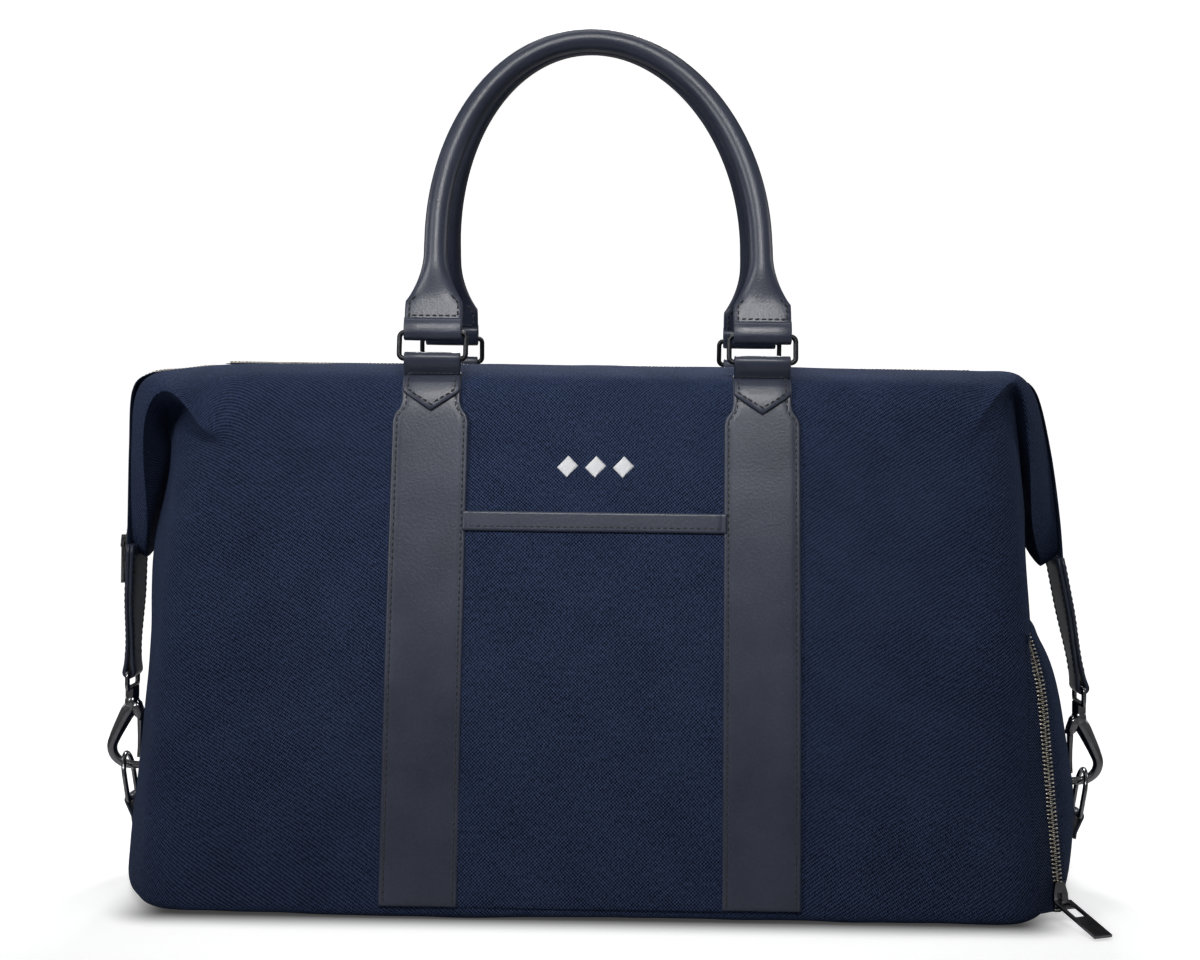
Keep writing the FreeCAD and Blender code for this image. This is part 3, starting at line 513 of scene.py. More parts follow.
def wall_point(side, zone, share, height, inset=0.0):
    """A point on the upright walls: front flat, round corner or bowed end, at one height."""
    rise = max(0.0, (height - BASE_LEVEL) / (RIM_LEVEL - BASE_LEVEL))
    depth = HALF_BASE + (HALF_TOP - HALF_BASE) * rise - inset
    reach = REACH[side] + (REACH_TOP - REACH[side]) * rise - inset
    inner = BOW - CORNER
    lift = depth - CORNER
    run = math.sqrt(inner ** 2 - lift ** 2)
    spread = math.atan2(lift, run)
    centre = reach - BOW
    if zone == "front":
        x, y = share * (centre + run), -depth
        y -= FRONT_SWELL * math.sin(math.pi * min(rise, 1)) ** 1.2 * (1 - share ** 4)
    elif zone == "corner":
        angle = -math.pi / 2 + share * (math.pi / 2 - spread)
        x = centre + run + CORNER * math.cos(angle)
        y = -lift + CORNER * math.sin(angle)
    else:
        angle = -spread * (1 - share)
        x, y = centre + BOW * math.cos(angle), BOW * math.sin(angle)
        if side == "right":
            x -= WAIST * math.exp(-((height - WAIST_LEVEL) / WAIST_BAND) ** 2)
        x += END_SWELL[side] * share * math.exp(-((height - SWELL_LEVEL) / SWELL_BAND) ** 2)
    return Vector((SIGN[side] * x, y, height))


COLUMNS = ([("front", share) for share in (0, 0.22, 0.45, 0.65, 0.8, 0.9, 1.0)]
           + [("corner", share) for share in (0.25, 0.5, 0.75, 1.0)]
           + [("bow", share) for share in (0.33, 0.67, 1.0)])
# Each folded column: the crease under the fold, the fold's edge, the zip, and how far the outer
# cloth swells past a straight line from edge to zip.  X is outwards, front is -Y.
FOLDS = {
    "left": {
        7: ((226, -64, 266), (228, -74, 266), (238, -9, 308), (0, -12, 10)),
        8: ((239, -38, 281), (238.5, -67, 284), (254, -9, 306), (-1, -7, 6)),
        9: ((250, -25, 284), (254, -58, 297), (273, -8, 303.5), (2, -3, 3)),
        10: ((257, -18, 279), (268, -50, 282), (283, -8, 293), (3, -2, 3)),
        11: ((259, -14, 272), (269, -44, 248), (284.5, -7.5, 258), (2, -2, 0)),
        12: ((258, -9, 264), (267, -31, 208), (284.8, -7, 220), (1, -2, 0)),
        13: ((258, 0, 258), (279, 0, 182), (284.5, 0, 187), (1, 0, 0)),
    },
    "right": {
        7: ((224, -68, 280), (225, -69, 288), (229, -9, 309.5), (0, -10, 8)),
        8: ((236, -56, 289), (236.5, -63, 300), (240, -9, 309.5), (0, -8, 5)),
        9: ((243, -42, 293), (243.5, -55, 306), (254, -8, 307), (1, -3, 3)),
        10: ((247, -32, 290), (251, -50, 296), (265, -8, 297.5), (2, -2, 2)),
        11: ((250, -22, 282), (256, -45, 252), (273.5, -7.5, 264), (1, -2, 0)),
        12: ((253, -13, 268), (258, -31, 210), (279.5, -7, 224), (1, -2, 0)),
        13: ((254, 0, 258), (276, 0, 182), (282, 0, 187), (1, 0, 0)),
    },
}
EAR_WEIGHT = {8: 0.04, 9: 0.3, 10: 0.75, 11: 1.0, 12: 1.0, 13: 1.0}
WALL_HEIGHTS = (24, 60, 105, 150, 190, 225)


def outward_x(side, values):
    """A point given with X outwards, placed on one side of the bag."""
    return Vector((SIGN[side] * values[0], values[1], values[2]))


def folded_points(side, number, wall):
    """The ten highest points of a folded column: in to the crease, out round the edge, up to the zip."""
    crease, edge, zipped, swell = (outward_x(side, values) for values in FOLDS[side][number])
    under = crease.lerp(edge, 0.5) - swell * 0.1
    hem = min(0.45, HEM / max((edge - under).length, 1))
    points = [wall(250).lerp(crease, 0.25), crease, under, edge.lerp(under, hem), edge]
    hem = min(0.15, HEM / (zipped - edge).length)
    for part in (hem, 0.25, 0.5, 0.76, 1.0):
        points.append(edge.lerp(zipped, part) + swell * math.sin(math.pi * part) ** 0.8)
    return points


def plain_points(number, wall):
    """The ten highest points of a column with no fold: up to the rim and over the top to the zip."""
    pinch = max(0.0, (number - 4) / 2)
    heights = (242 + 6 * pinch, 253 + 4 * pinch, 261 + pinch, 267, 272 - pinch, 280 - 4 * pinch, 292)
    rim = wall(RIM_LEVEL)
    return [wall(height) for height in heights] + [
        Vector((rim.x, rim.y + 3.5, TOP_LEVEL - 5)), Vector((rim.x, rim.y * 0.5, TOP_LEVEL + 0.5)),
        Vector((rim.x, -ZIP_GAP, TOP_LEVEL))]


def column_points(side, number):
    """Control points up one column of cloth from the base's middle to the zip, with ear weights."""
    def wall(height, inset=0.0):
        """This column's place on the upright walls."""
        return wall_point(side, *COLUMNS[number], height, inset)

    foot = wall(BASE_LEVEL)
    points = [Vector((foot.x * 0.5, foot.y * 0.5, 5.2)), Vector((foot.x * 0.96, foot.y * 0.93, 5.0)),
              wall(5.2, 1.2), wall(10, -0.4)] + [wall(height) for height in WALL_HEIGHTS]
    points += folded_points(side, number, wall) if number in FOLDS[side] else plain_points(number, wall)
    ear = EAR_WEIGHT.get(number, 0.0)
    return points, [0.0] * (len(points) - 8) + [ear * 0.6] + [ear] * 7


def build_shell():
    """The whole canvas as one smooth sheet, before it is split at the straps."""
    last = len(COLUMNS) - 1
    loop = []
    for side, rear, order in (("left", False, range(last, -1, -1)), ("right", False, range(1, last + 1)),
                              ("right", True, range(last - 1, -1, -1)), ("left", True, range(1, last))):
        loop += [(side, number, rear) for number in order]
    points = []
    weights = []
    cloth = []
    across = 0.0
    before = None
    for side, number, rear in loop:
        column, ears = column_points(side, number)
        if rear:
            column = [Vector((point.x, -point.y, point.z)) for point in column]
        if before is not None:
            across += (column[4] - before).length
        before = column[4]
        points += column
        weights += ears
        cloth += [(across * MM, along * MM) for along in running(column)]
    rows = len(points) // len(loop)
    faces = []
    for here in range(len(loop)):
        after = (here + 1) % len(loop)
        for row in range(rows - 1):
            low, next_low = here * rows + row, after * rows + row
            faces.append((low, next_low, next_low + 1, low + 1))
    faces.append(tuple(index * rows for index in reversed(range(len(loop)))))
    made = mesh_object("canvas", points, faces, CANVAS, None, cloth)
    layer = made.data.uv_layers["cloth"]
    lap = across * MM + 0.03
    for polygon in made.data.polygons:
        corners = list(polygon.loop_indices)
        values = [layer.data[corner].uv.x for corner in corners]
        if max(values) - min(values) > 0.4 and len(corners) == 4:
            for corner, value in zip(corners, values):
                if value < 0.4:
                    layer.data[corner].uv.x = value + lap
    attribute = made.data.attributes.new("ear", "FLOAT", "POINT")
    attribute.data.foreach_set("value", weights)
    return applied(made, levels=3)


SLOW_WAVE, SLOW_HEIGHT = 75, 1.5
QUICK_WAVE, QUICK_HEIGHT = 24, 0.4
SAG_UP_TO = 40
LOWEST = 0.9


def ruffle(made, height=1.0, scale=1.0):
    """Low soft waves and small puckers over a sheet, by a fixed noise, and a sag along its lower edges."""
    moves = []
    for vertex in made.data.vertices:
        here = vertex.co / MM
        slow = noise.noise(here / (SLOW_WAVE * scale) + Vector((3.1, 0.4, 7.7)))
        quick = noise.noise(here / (QUICK_WAVE * scale) + Vector((9.2, 5.5, 1.3)))
        out = (SLOW_HEIGHT * slow + QUICK_HEIGHT * quick) * height
        place = here + vertex.normal * out
        rim = clamped(abs(place.y), HALF_BASE - 26, HALF_BASE - 8)
        place.z = max(place.z - max(0.0, 1 - place.z / SAG_UP_TO) * (1.2 + 2.9 * rim), LOWEST)
        moves.append(place * MM)
    for vertex, place in zip(made.data.vertices, moves):
        vertex.co = place
    made.data.update()


def split_shell(whole):
    """Cut the sheet under the straps so each wing's cloth can bend on its own."""
    parts = []
    cut = STRAP_X * MM
    mesh = whole.data
    centres = [polygon.center.x for polygon in mesh.polygons]
    ear = [value.value for value in mesh.attributes["ear"].data]
    layer = mesh.uv_layers["cloth"].data
    for name, test in (("canvas_left", lambda x: x < -cut), ("canvas_middle", lambda x: -cut <= x <= cut),
                       ("canvas_right", lambda x: x > cut)):
        chosen = [polygon for polygon, x in zip(mesh.polygons, centres) if test(x)]
        numbers = {}
        for polygon in chosen:
            for vertex in polygon.vertices:
                numbers.setdefault(vertex, len(numbers))
        points = [mesh.vertices[vertex].co / MM for vertex in numbers]
        faces = [tuple(numbers[vertex] for vertex in polygon.vertices) for polygon in chosen]
        part = mesh_object(name, points, faces, CANVAS, "canvas")
        cloth = part.data.uv_layers.new(name="cloth")
        for old, new in zip(chosen, part.data.polygons):
            for first, second in zip(old.loop_indices, new.loop_indices):
                cloth.data[second].uv = layer[first].uv
        parts.append((part, [ear[vertex] for vertex in numbers]))
    return parts


def bend(made, side, weights):
    """Let a piece follow the bag and one wing, by a weight for each of its points."""
    name = side + "_wing"
    middle = pivot(name + "_fold") * MM
    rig.blend(made, "bag", name, middle - Vector((0, 0, 0.01)), middle + Vector((0, 0, 0.01)))
    made.data.attributes["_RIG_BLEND"].data.foreach_set("value", weights)


whole_shell = build_shell()
ruffle(whole_shell)
SHELL_TREE = BVHTree.FromPolygons([vertex.co / MM for vertex in whole_shell.data.vertices],
                                  [polygon.vertices for polygon in whole_shell.data.polygons])
shell_parts = split_shell(whole_shell)
bpy.data.objects.remove(whole_shell)
for (part, ears), side in zip(shell_parts, ("left", None, "right")):
    if side:
        bend(part, side, ears)
        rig.replaces(part, side + "_end_panel", side + "_gusset", side + "_wing_panel")
    else:
        stand_in(part, "bag", "front_panel", "rear_panel", "front_top_panel", "rear_top_panel", "base_panel")


def on_canvas(x, z, rear=False, lift=0.0):
    """The canvas surface in front of or behind the bag's middle at x, z: point and outward normal."""
    side = 1 if rear else -1
    hit, normal, _, _ = SHELL_TREE.ray_cast(Vector((x, side * 400, z)), Vector((0, -side, 0)))
    if normal.y * side < 0:
        normal = -normal
    return hit + normal * lift, normal


# ---------------------------------------------------------------- leather laid on the canvas

# A sheet's cut edge: how far in, and what share of its full thickness is left there.
EDGE = [(0.0, 0.45), (0.25, 0.8), (0.8, 1.0)]


def laid_sheet(name, centre, half_at, low, high, thickness, rear, material, slot, lift=0.0, groove=2.7):
    """A sheet of leather or cloth that follows the canvas, with rounded edges and a stitched groove.

    half_at(z) is its half width at each height.  Returns the object and its face at (x, z)."""
    side = 1 if rear else -1
    rows = max(8, round((high - low) / 4))
    depths = []
    for row in range(rows + 1):
        z = low + (high - low) * row / rows
        hits = [on_canvas(centre + half_at(z) * share, z, rear)[0].y for share in (-0.8, -0.4, 0, 0.4, 0.8)]
        depths.append(sum(hits) / len(hits))
    for _ in range(2):
        depths = ([depths[0]] + [(a + 2 * b + c) / 4 for a, b, c in zip(depths, depths[1:], depths[2:])]
                  + [depths[-1]])

    def face(x, z, out):
        """The sheet's surface at x, z, raised by out."""
        part = min(max((z - low) / (high - low) * rows, 0), rows - 1e-6)
        index = int(part)
        own = depths[index] + (depths[index + 1] - depths[index]) * (part - index)
        slope = (depths[index + 1] - depths[index]) * rows / (high - low)
        here = on_canvas(x, z, rear)[0].y
        proud = max(own * side, here * side - 0.7)
        return Vector((x, side * (proud + out), z - side * out * slope * 0.4))

    insets = [(0.0, -1.2)] + EDGE + [(groove - 0.9, 1.0), (groove, 0.86), (groove + 0.9, 1.0),
                                     (groove * 2.4, 1.03)]
    ends = [(0.0, -1.0)] + EDGE
    levels = ([(low + inset, out) for inset, out in ends]
              + [(low + (high - low) * row / rows, 1.0) for row in range(1, rows)]
              + [(high - inset, out) for inset, out in reversed(ends)])
    points = []
    cloth = []
    for z, top in levels:
        half = half_at(z)
        line = ([(-half + inset, out) for inset, out in insets] + [(0, 1.03)]
                + [(half - inset, out) for inset, out in reversed(insets)])
        for x, out in line:
            points.append(face(centre + x, z, lift + thickness * min(out, top)))
            cloth.append(((centre + x) * MM, z * MM))
    faces = grid_faces(len(levels), len(insets) * 2 + 1)
    if rear:
        faces = [tuple(reversed(one)) for one in faces]
    made = mesh_object(name, points, faces, material, slot, cloth)
    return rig.ride(made, "bag"), face


def along_corners(corners):
    """Places about every two millimetres along straight runs between (x, z) corners."""
    places = []
    for (x0, z0), (x1, z1) in zip(corners, corners[1:]):
        count = max(1, round(math.dist((x0, z0), (x1, z1)) / 2))
        places += [(x0 + (x1 - x0) * part / count, z0 + (z1 - z0) * part / count) for part in range(count)]
    return places + [corners[-1]]


def stitched_line(name, face, corners, out, rear=False):
    """A row of stitches over a laid sheet through (x, z) corners."""
    curve = [face(x, z, out) for x, z in along_corners(corners)]
    stitches(name, curve, [Vector((0, 1 if rear else -1, 0.1))] * len(curve), "bag")


WIDE, NECK = 22, 17
SHOULDER_LOW, SHOULDER_HIGH = 279.5, 286
STRAP_TOP = mm_box("front_left_strap")[1].z


def strap_half(z):
    """Half the strap's width: wide below the shoulders, narrow at the neck."""
    return WIDE + (NECK - WIDE) * clamped(z, SHOULDER_LOW, SHOULDER_HIGH)


strap_faces = {}
for rear in (False, True):
    for side, sign in SIGN.items():
        label = ("rear_" if rear else "front_") + side + "_strap"
        centre = sign * STRAP_X
        strap, strap_faces[label] = laid_sheet(label + "_leather", centre, strap_half, 8, STRAP_TOP + 1, 2.5,
                                               rear, LEATHER, "leather")
        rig.replaces(strap, label)
        for edge in (-1, 1):
            wide, neck = (centre + edge * (half - STITCH_IN) for half in (WIDE, NECK))
            corners = [(wide, 10), (wide, SHOULDER_LOW - 0.5), (neck, SHOULDER_HIGH - 0.5),
                       (neck, STRAP_TOP - 3)]
            stitched_line("%s_seam_%d" % (label, edge + 1), strap_faces[label], corners, 2.2, rear)

POCKET_LOW, POCKET_HIGH = mm_box("pocket_panel")
BINDING_LOW, BINDING_HIGH = mm_box("pocket_binding")
panel, _ = laid_sheet("slip_pocket", 0, lambda z: 76, POCKET_LOW.z, POCKET_HIGH.z + 3, 1.3, False,
                      CANVAS, "canvas", lift=0.2, groove=5)
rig.replaces(panel, "pocket_panel")
binding, binding_face = laid_sheet("slip_pocket_binding", 0, lambda z: 75.5, BINDING_LOW.z + 0.5,
                                   BINDING_HIGH.z + 0.5, 2.6, False, LEATHER, "leather", lift=1.0)
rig.replaces(binding, "pocket_binding")
stitched_line("binding_seam", binding_face, [(-72, BINDING_LOW.z + 3.2), (72, BINDING_LOW.z + 3.2)], 3.3)


DIAMOND_HALF = 6
DIAMOND_PITCH = 16
THREADS_EACH_WAY = 17


def build_motif():
    """Three embroidered diamonds, each a field of slanting white satin threads."""
    points = []
    faces = []
    outline = ring_profile(0.34, 0.28, 6)
    shares = (-1, -0.6, 0, 0.6, 1)
    low, high = mm_box("embroidered_motif")
    middle = (low.z + high.z) / 2
    for diamond in (-1, 0, 1):
        for row in range(-THREADS_EACH_WAY, THREADS_EACH_WAY + 1):
            z = middle + row * DIAMOND_HALF / (THREADS_EACH_WAY + 0.5)
            reach = DIAMOND_HALF - abs(z - middle)
            if reach < 0.5:
                continue
            faces += tube_faces(len(shares), len(outline), len(points))
            for share in shares:
                x = DIAMOND_PITCH * diamond + reach * share
                surface, normal = on_canvas(x, z + 0.5 * share, lift=0.15 + 0.55 * (1 - share ** 4))
                points += [surface + UP * a + normal * b for a, b in outline]
    stand_in(mesh_object("embroidered_diamonds", points, faces, WHITE_THREAD, "thread"), "bag",
             "embroidered_motif")


build_motif()


# ---------------------------------------------------------------- chapes and handles

CHAPE_HALF = 16.3
CHAPE_OUT = 2.5
CHAPE_BEND = 1.8
CHAPE_POINT = 10.5


def build_chape(label, sign, rear):
    """A leather strip folded over the ring's bar, ending in a stitched point on the strap."""
    flip = 1 if rear else -1
    bar = pivot("rear_rings_hinge" if rear else "front_rings_hinge")
    face = strap_faces[label + "_strap"]
    centre = sign * STRAP_X
    tip = mm_box(label + "_chape")[0].z - 4.5
    shoulder = tip + CHAPE_POINT
    path = [Vector((centre, bar.y - flip * 2.6, bar.z - 9))]
    normals = [Vector((0, -flip, 0))]
    for angle in HALF_TURN:
        away = Vector((0, -flip * math.cos(angle), math.sin(angle)))
        path.append(Vector((centre, bar.y, bar.z)) + away * CHAPE_BEND)
        normals.append(away)
    bend_end = len(path)
    loop_end = path[-1]
    landing = face(centre, bar.z - 11, CHAPE_OUT)

    def chape_face(x, z, out):
        """The chape's surface: easing from the loop down to the strap, then flat along it."""
        share = (z - landing.z) / (loop_end.z - landing.z)
        if share <= 0:
            return face(x, z, out)
        return Vector((x, landing.y + (loop_end.y - landing.y) * eased(share) + flip * (out - CHAPE_OUT), z))

    for step in range(17):
        path.append(chape_face(centre, bar.z - 2 - (bar.z - 2 - tip) * step / 16, CHAPE_OUT))
        normals.append(Vector((0, flip, 0.16)))

    def profile(index):
        """Full width down to the shoulders, then in to the point."""
        half = CHAPE_HALF
        if index >= bend_end and path[index].z <= shoulder:
            half = max(0.4, CHAPE_HALF * (path[index].z - tip) / CHAPE_POINT)
        thick = 2.1 if index < len(path) - 1 else 1.6
        return strip_profile(half, thick, min(0.8, half * 0.4))

    chape = sweep(label + "_chape_leather", path, normals, profile, LEATHER, "leather")
    stand_in(chape, "bag", label + "_chape")
    left, right = (centre + edge * (CHAPE_HALF - STITCH_IN) for edge in (-1, 1))
    row = bar.z - 8.5
    point = [(left, row), (left, shoulder + 1), (centre, tip + 3.6), (right, shoulder + 1), (right, row)]
    for name, corners in (("row", [point[0], point[-1]]), ("point", point)):
        stitched_line("%s_chape_%s" % (label, name), chape_face, corners, CHAPE_OUT + 2.25, rear)


for end, rear in (("front", False), ("rear", True)):
    for side, sign in SIGN.items():
        build_chape(end + "_" + side, sign, rear)

HANDLE_LEAN = math.radians(18.77)
HANDLE_RISE = 190.5
HANDLE_ARCH = 95.4
SPRING = 58
SWAY = 6
TUBE = 7.0
TUBE_FROM = 50
CORD_SHAPE = ring_profile(5, 5, 16)
TAB_HALF = 16.8
TAB_HIGH = 19
TAB_THICK = 3.1
LOOP_BEND = 2.6


def handle_outline():
    """The handle's centre line as (x, up) pairs: two straight legs and an arch, swaying to the left."""
    outline = [(-STRAP_X, 3.2 + 2.0 * step) for step in range(int((SPRING - 3.2) / 2))]
    legs = [(-x, up) for x, up in reversed(outline)]
    for step in range(81):
        angle = math.pi * (1 - step / 80)
        outline.append((HANDLE_ARCH * math.cos(angle), SPRING + (HANDLE_RISE - SPRING) * math.sin(angle)))
    return [(x - SWAY * (up / HANDLE_RISE) ** 2, up) for x, up in outline + legs]


def build_handle(end, flip):
    """A rolled leather handle: round over the top, flat tabs folded round the rings."""
    body = end + "_handle"
    bar = pivot(body + "_hinge")
    lean_up = Vector((0, -flip * math.sin(HANDLE_LEAN), math.cos(HANDLE_LEAN)))
    out = Vector((0, flip * math.cos(HANDLE_LEAN), math.sin(HANDLE_LEAN)))

    def place(x, up, away=0.0):
        """A point in the handle's own leaning plane."""
        return Vector((x, bar.y, bar.z)) + lean_up * up + out * away

    outline = handle_outline()

    def cover_profile(index):
        """Flat tab at the ends, swelling into a round tube."""
        up = outline[index][1]
        wide = TUBE + (TAB_HALF - TUBE) * (1 - clamped(up, TAB_HIGH, TUBE_FROM)) ** 2
        roundness = eased(clamped(up, TAB_HIGH - 2, TAB_HIGH + 25))
        thick = TAB_THICK + (TUBE - TAB_THICK) * roundness
        squareness = 1 - clamped(up, TAB_HIGH - 5, TAB_HIGH + 3)
        return ring_profile(wide, thick, 32, 2.1 + 3.9 * squareness)

    path = [place(x, up) for x, up in outline]
    cover = sweep(body + "_leather", path, [out] * len(path), cover_profile, LEATHER, "leather")
    stand_in(cover, body, body + "_cover")
    inside = [point for point, (_, up) in zip(path, outline) if up > TUBE_FROM]
    core = sweep(body + "_cord", inside, [out] * len(inside), lambda index: CORD_SHAPE, CORD, "cord")
    stand_in(core, body, body + "_core")
    for sign in SIGN.values():
        build_handle_tab(body, sign, place, out)


def build_handle_tab(body, sign, place, out):
    """One end of a handle: the leather folded round the ring's bar, and a seam on both faces."""
    centre = sign * STRAP_X
    up_front = [place(centre, 8.0, 2.9), place(centre, 6.0, 3.0), place(centre, 3.0, TAB_THICK)]
    down_back = [place(centre, 3.0, -TAB_THICK), place(centre, 6.0, -3.0), place(centre, 8.0, -2.9)]
    bend_round = [place(centre, -LOOP_BEND * math.sin(angle), LOOP_BEND * math.cos(angle))
                  for angle in HALF_TURN]
    loop = up_front + bend_round + down_back
    around = [(point - place(centre, 1.2)).normalized() for point in loop]

    def loop_profile(index):
        """Full leather round the bar, skived thin where it runs out under the seam."""
        thick = (0.5, 1.4, 2.1)[min(index, len(loop) - 1 - index, 2)]
        return strip_profile(TAB_HALF, thick, min(0.8, thick * 0.6))

    strip = sweep("%s_loop_%d" % (body, sign + 1), loop, around, loop_profile, LEATHER, "leather")
    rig.ride(strip, body)
    inner = TAB_HALF - STITCH_IN
    right = [(inner, 9.5), (inner, 18), (inner - 3.4, 22)]
    corners = [(-x, up) for x, up in reversed(right)] + right
    for back in (1, -1):
        curve = [place(centre + x, up, back * 3.05) for x, up in along_corners(corners)]
        stitches("%s_seam_%d_%d" % (body, sign + 1, back + 1), curve, [out * back] * len(curve), body)


build_handle("front", -1)
build_handle("rear", 1)


# ---------------------------------------------------------------- zips

TAPE_HALF = 12.5
TOOTH_PITCH = 2.3


def tape_strip(name, path, normals):
    """A band of woven zip tape along a path."""
    band = [(-TAPE_HALF, -0.4), (-TAPE_HALF, 0.1), (0, 0.15), (TAPE_HALF, 0.1), (TAPE_HALF, -0.4)]
    return sweep(name, path, normals, lambda index: band, TAPE, "zip_tape")


def zip_teeth(name, path, normals, width=5.6, high=1.5):
    """Two interlocking rows of metal teeth along a path."""
    points = []
    faces = []
    pitch = TOOTH_PITCH / 2
    sections = ((-0.9, 0.36, 0.55), (-0.35, 0.48, 0.9), (0.8, 0.44, 1.0), (width / 2 - 0.7, 0.62, 1.0),
                (width / 2, 0.56, 0.55))
    outline = ((-1, 0.0), (-1, 0.75), (-0.55, 1.0), (0.55, 1.0), (1, 0.75), (1, 0.0))
    count = int(running(path)[-1] / pitch)
    for number, (centre, forward, outward) in zip(range(count), stations(path, normals, pitch / 2, pitch)):
        outward = square_to(outward, forward)
        across = forward.cross(outward) * (1 if number % 2 else -1)
        faces += tube_faces(len(sections), len(outline), len(points))
        for reach, half, tall in sections:
            points += [centre + across * reach + forward * (along * half) + outward * (lift * tall * high)
                       for along, lift in outline]
    return mesh_object(name, points, faces, TEETH_METAL, "zip_teeth")


def path_weights(made, path, weights):
    """For each of a piece's points, the wing weight of the nearest place on its path."""
    values = []
    for vertex in made.data.vertices:
        here = vertex.co / MM
        nearest = min(range(len(path)), key=lambda index: (path[index] - here).length_squared)
        values.append(weights[nearest])
    return values


def side_normals(path):
    """Outward normals of a path lying in the y = 0 plane, away from the bag's middle."""
    normals = []
    for index, point in enumerate(path):
        ahead = path[min(index + 1, len(path) - 1)] - path[max(index - 1, 0)]
        normal = ahead.cross(Vector((0, 1, 0))).normalized()
        if normal.dot(point - Vector((0, 0, 200))) < 0:
            normal = -normal
        normals.append(normal)
    return normals


ZIP_DROP = 0.8
TOP_ZIP_END = 226


def build_wing_zip(side):
    """The stretch of main zip that turns over the bag's end and hangs down the wing."""
    zipped = {number: fold[2] for number, fold in FOLDS[side].items()}
    numbers = sorted(zipped)[:-1]
    spots = [outward_x(side, (zipped[number][0], 0, zipped[number][2] - ZIP_DROP)) for number in numbers]
    start = Vector((SIGN[side] * TOP_ZIP_END, 0, spots[0].z))
    tip = outward_x(side, (zipped[13][0] + 0.5, 0, zipped[13][2] + 3))
    knots = [start] + spots + [tip]
    path = smooth_path(knots, 2)
    ears = [0.0, 0.0] + [EAR_WEIGHT[number] for number in numbers[1:]] + [1.0]
    weights = []
    for point in path:
        nearest = sorted(range(len(knots)), key=lambda index: (knots[index] - point).length)[:2]
        first, second = ((knots[index] - point).length for index in nearest)
        share = first / max(first + second, 1e-6)
        weights.append(ears[nearest[0]] * (1 - share) + ears[nearest[1]] * share)
    normals = side_normals(path)
    for name, build in (("tape", tape_strip), ("teeth", zip_teeth)):
        piece = build("%s_wing_%s" % (side, name), path, normals)
        bend(piece, side, path_weights(piece, path, weights))
        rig.replaces(piece, "%s_wing_zip_%s" % (side, name))


def build_top_zip():
    """The straight zip along the top of the bag."""
    path = [Vector((x, 0, TOP_LEVEL - ZIP_DROP)) for x in range(-TOP_ZIP_END, TOP_ZIP_END + 1, 4)]
    normals = [UP] * len(path)
    stand_in(tape_strip("top_tape", path, normals), "bag", "top_zip_tape")
    stand_in(zip_teeth("top_teeth", path, normals), "bag", "top_zip_teeth")


build_top_zip()
for side in ("left", "right"):
    build_wing_zip(side)


# ---------------------------------------------------------------- shoe pocket

SHOE_LEVELS = ((4.5, 279), (7, 283), (14, 286), (40, 289), (58, 289.5), (76, 286.5), (92, 283.5), (110, 281),
               (130, 277), (145, 271.5), (156, 265))
SHOE_TOP = mm_box("shoe_pocket_shell")[1].z


def shoe_line(z):
    """The shoe zip's centre line at a height: straight, then curling in to the body at the top."""
    slope = Vector(JOINTS["shoe_zip_slide"]["axis"])
    axis = slope / slope.z
    start = Vector((mm_box("shoe_zip_tape")[1].x - 3.9, mm_box("shoe_zip_tape")[0].y + 2.2, 9))
    point = start + axis * (z - 9)
    curl = max(0.0, (z - 118) / 44)
    point.x -= 6.5 * curl ** 2
    point.y += 7.0 * curl ** 2
    return point


def shoe_plan(z, angle):
    """A point on the shoe pocket's bowed face, by height and angle round the bow."""
    reach = SHOE_LEVELS[-1][1]
    for (low, first), (high, second) in zip(SHOE_LEVELS, SHOE_LEVELS[1:]):
        if z <= high:
            reach = first + (second - first) * clamped(z, low, high)
            break
    return Vector((reach - BOW + BOW * math.cos(angle), BOW * math.sin(angle), z))


def build_shoe_pocket():
    """The bulging end pocket: a full panel behind the zip, closing on to the bag all round."""
    angles = [math.radians(value) for value in (-20.855, -17, -10, 0, 10, 17, 21.34)]
    rows = []
    for z in (4.5, 7, 14, 28, 45, 62, 80, 98, 116, 132, 145, 154, 160):
        line = shoe_line(z)
        rim = wall_point("right", "bow", 0.12, z)
        row = [line + Vector(shift) for shift in ((-2.0, 3.1, 0), (2.8, 0.2, 0), (4.4, 5.0, 0))]
        row += [shoe_plan(z, angle) for angle in angles]
        row[3] = row[3].lerp(line + Vector((5.5, 8.5, 0)), 0.35)
        row += [Vector((rim.x + 3, -rim.y, z)), Vector((rim.x - 3, -rim.y + 2, z))]
        rows.append(row)
    lid = []
    for low in rows[-1]:
        body = wall_point("right", "bow", 1 - min(1, abs(low.y) / 104), SHOE_TOP)
        lid.append(Vector((min(low.x, body.x - 2 + 0.35 * (low.x - body.x)), low.y * 0.985, SHOE_TOP + 1.5)))
    rows.append(lid)
    rows.append([Vector((point.x - 9, point.y * 0.96, SHOE_TOP - 1)) for point in lid])
    rows.insert(0, [Vector((point.x - 12, point.y * 0.93, 5.6)) for point in rows[0]])
    cloth = [(across * MM, point.z * MM) for row in rows for across, point in zip(running(row), row)]
    points = [point for row in rows for point in row]
    made = mesh_object("shoe_pocket", points, grid_faces(len(rows), len(lid)), CANVAS, "canvas", cloth)
    applied(made, levels=3)
    ruffle(made, 0.7, 0.8)
    stand_in(made, "bag", "shoe_pocket_shell")


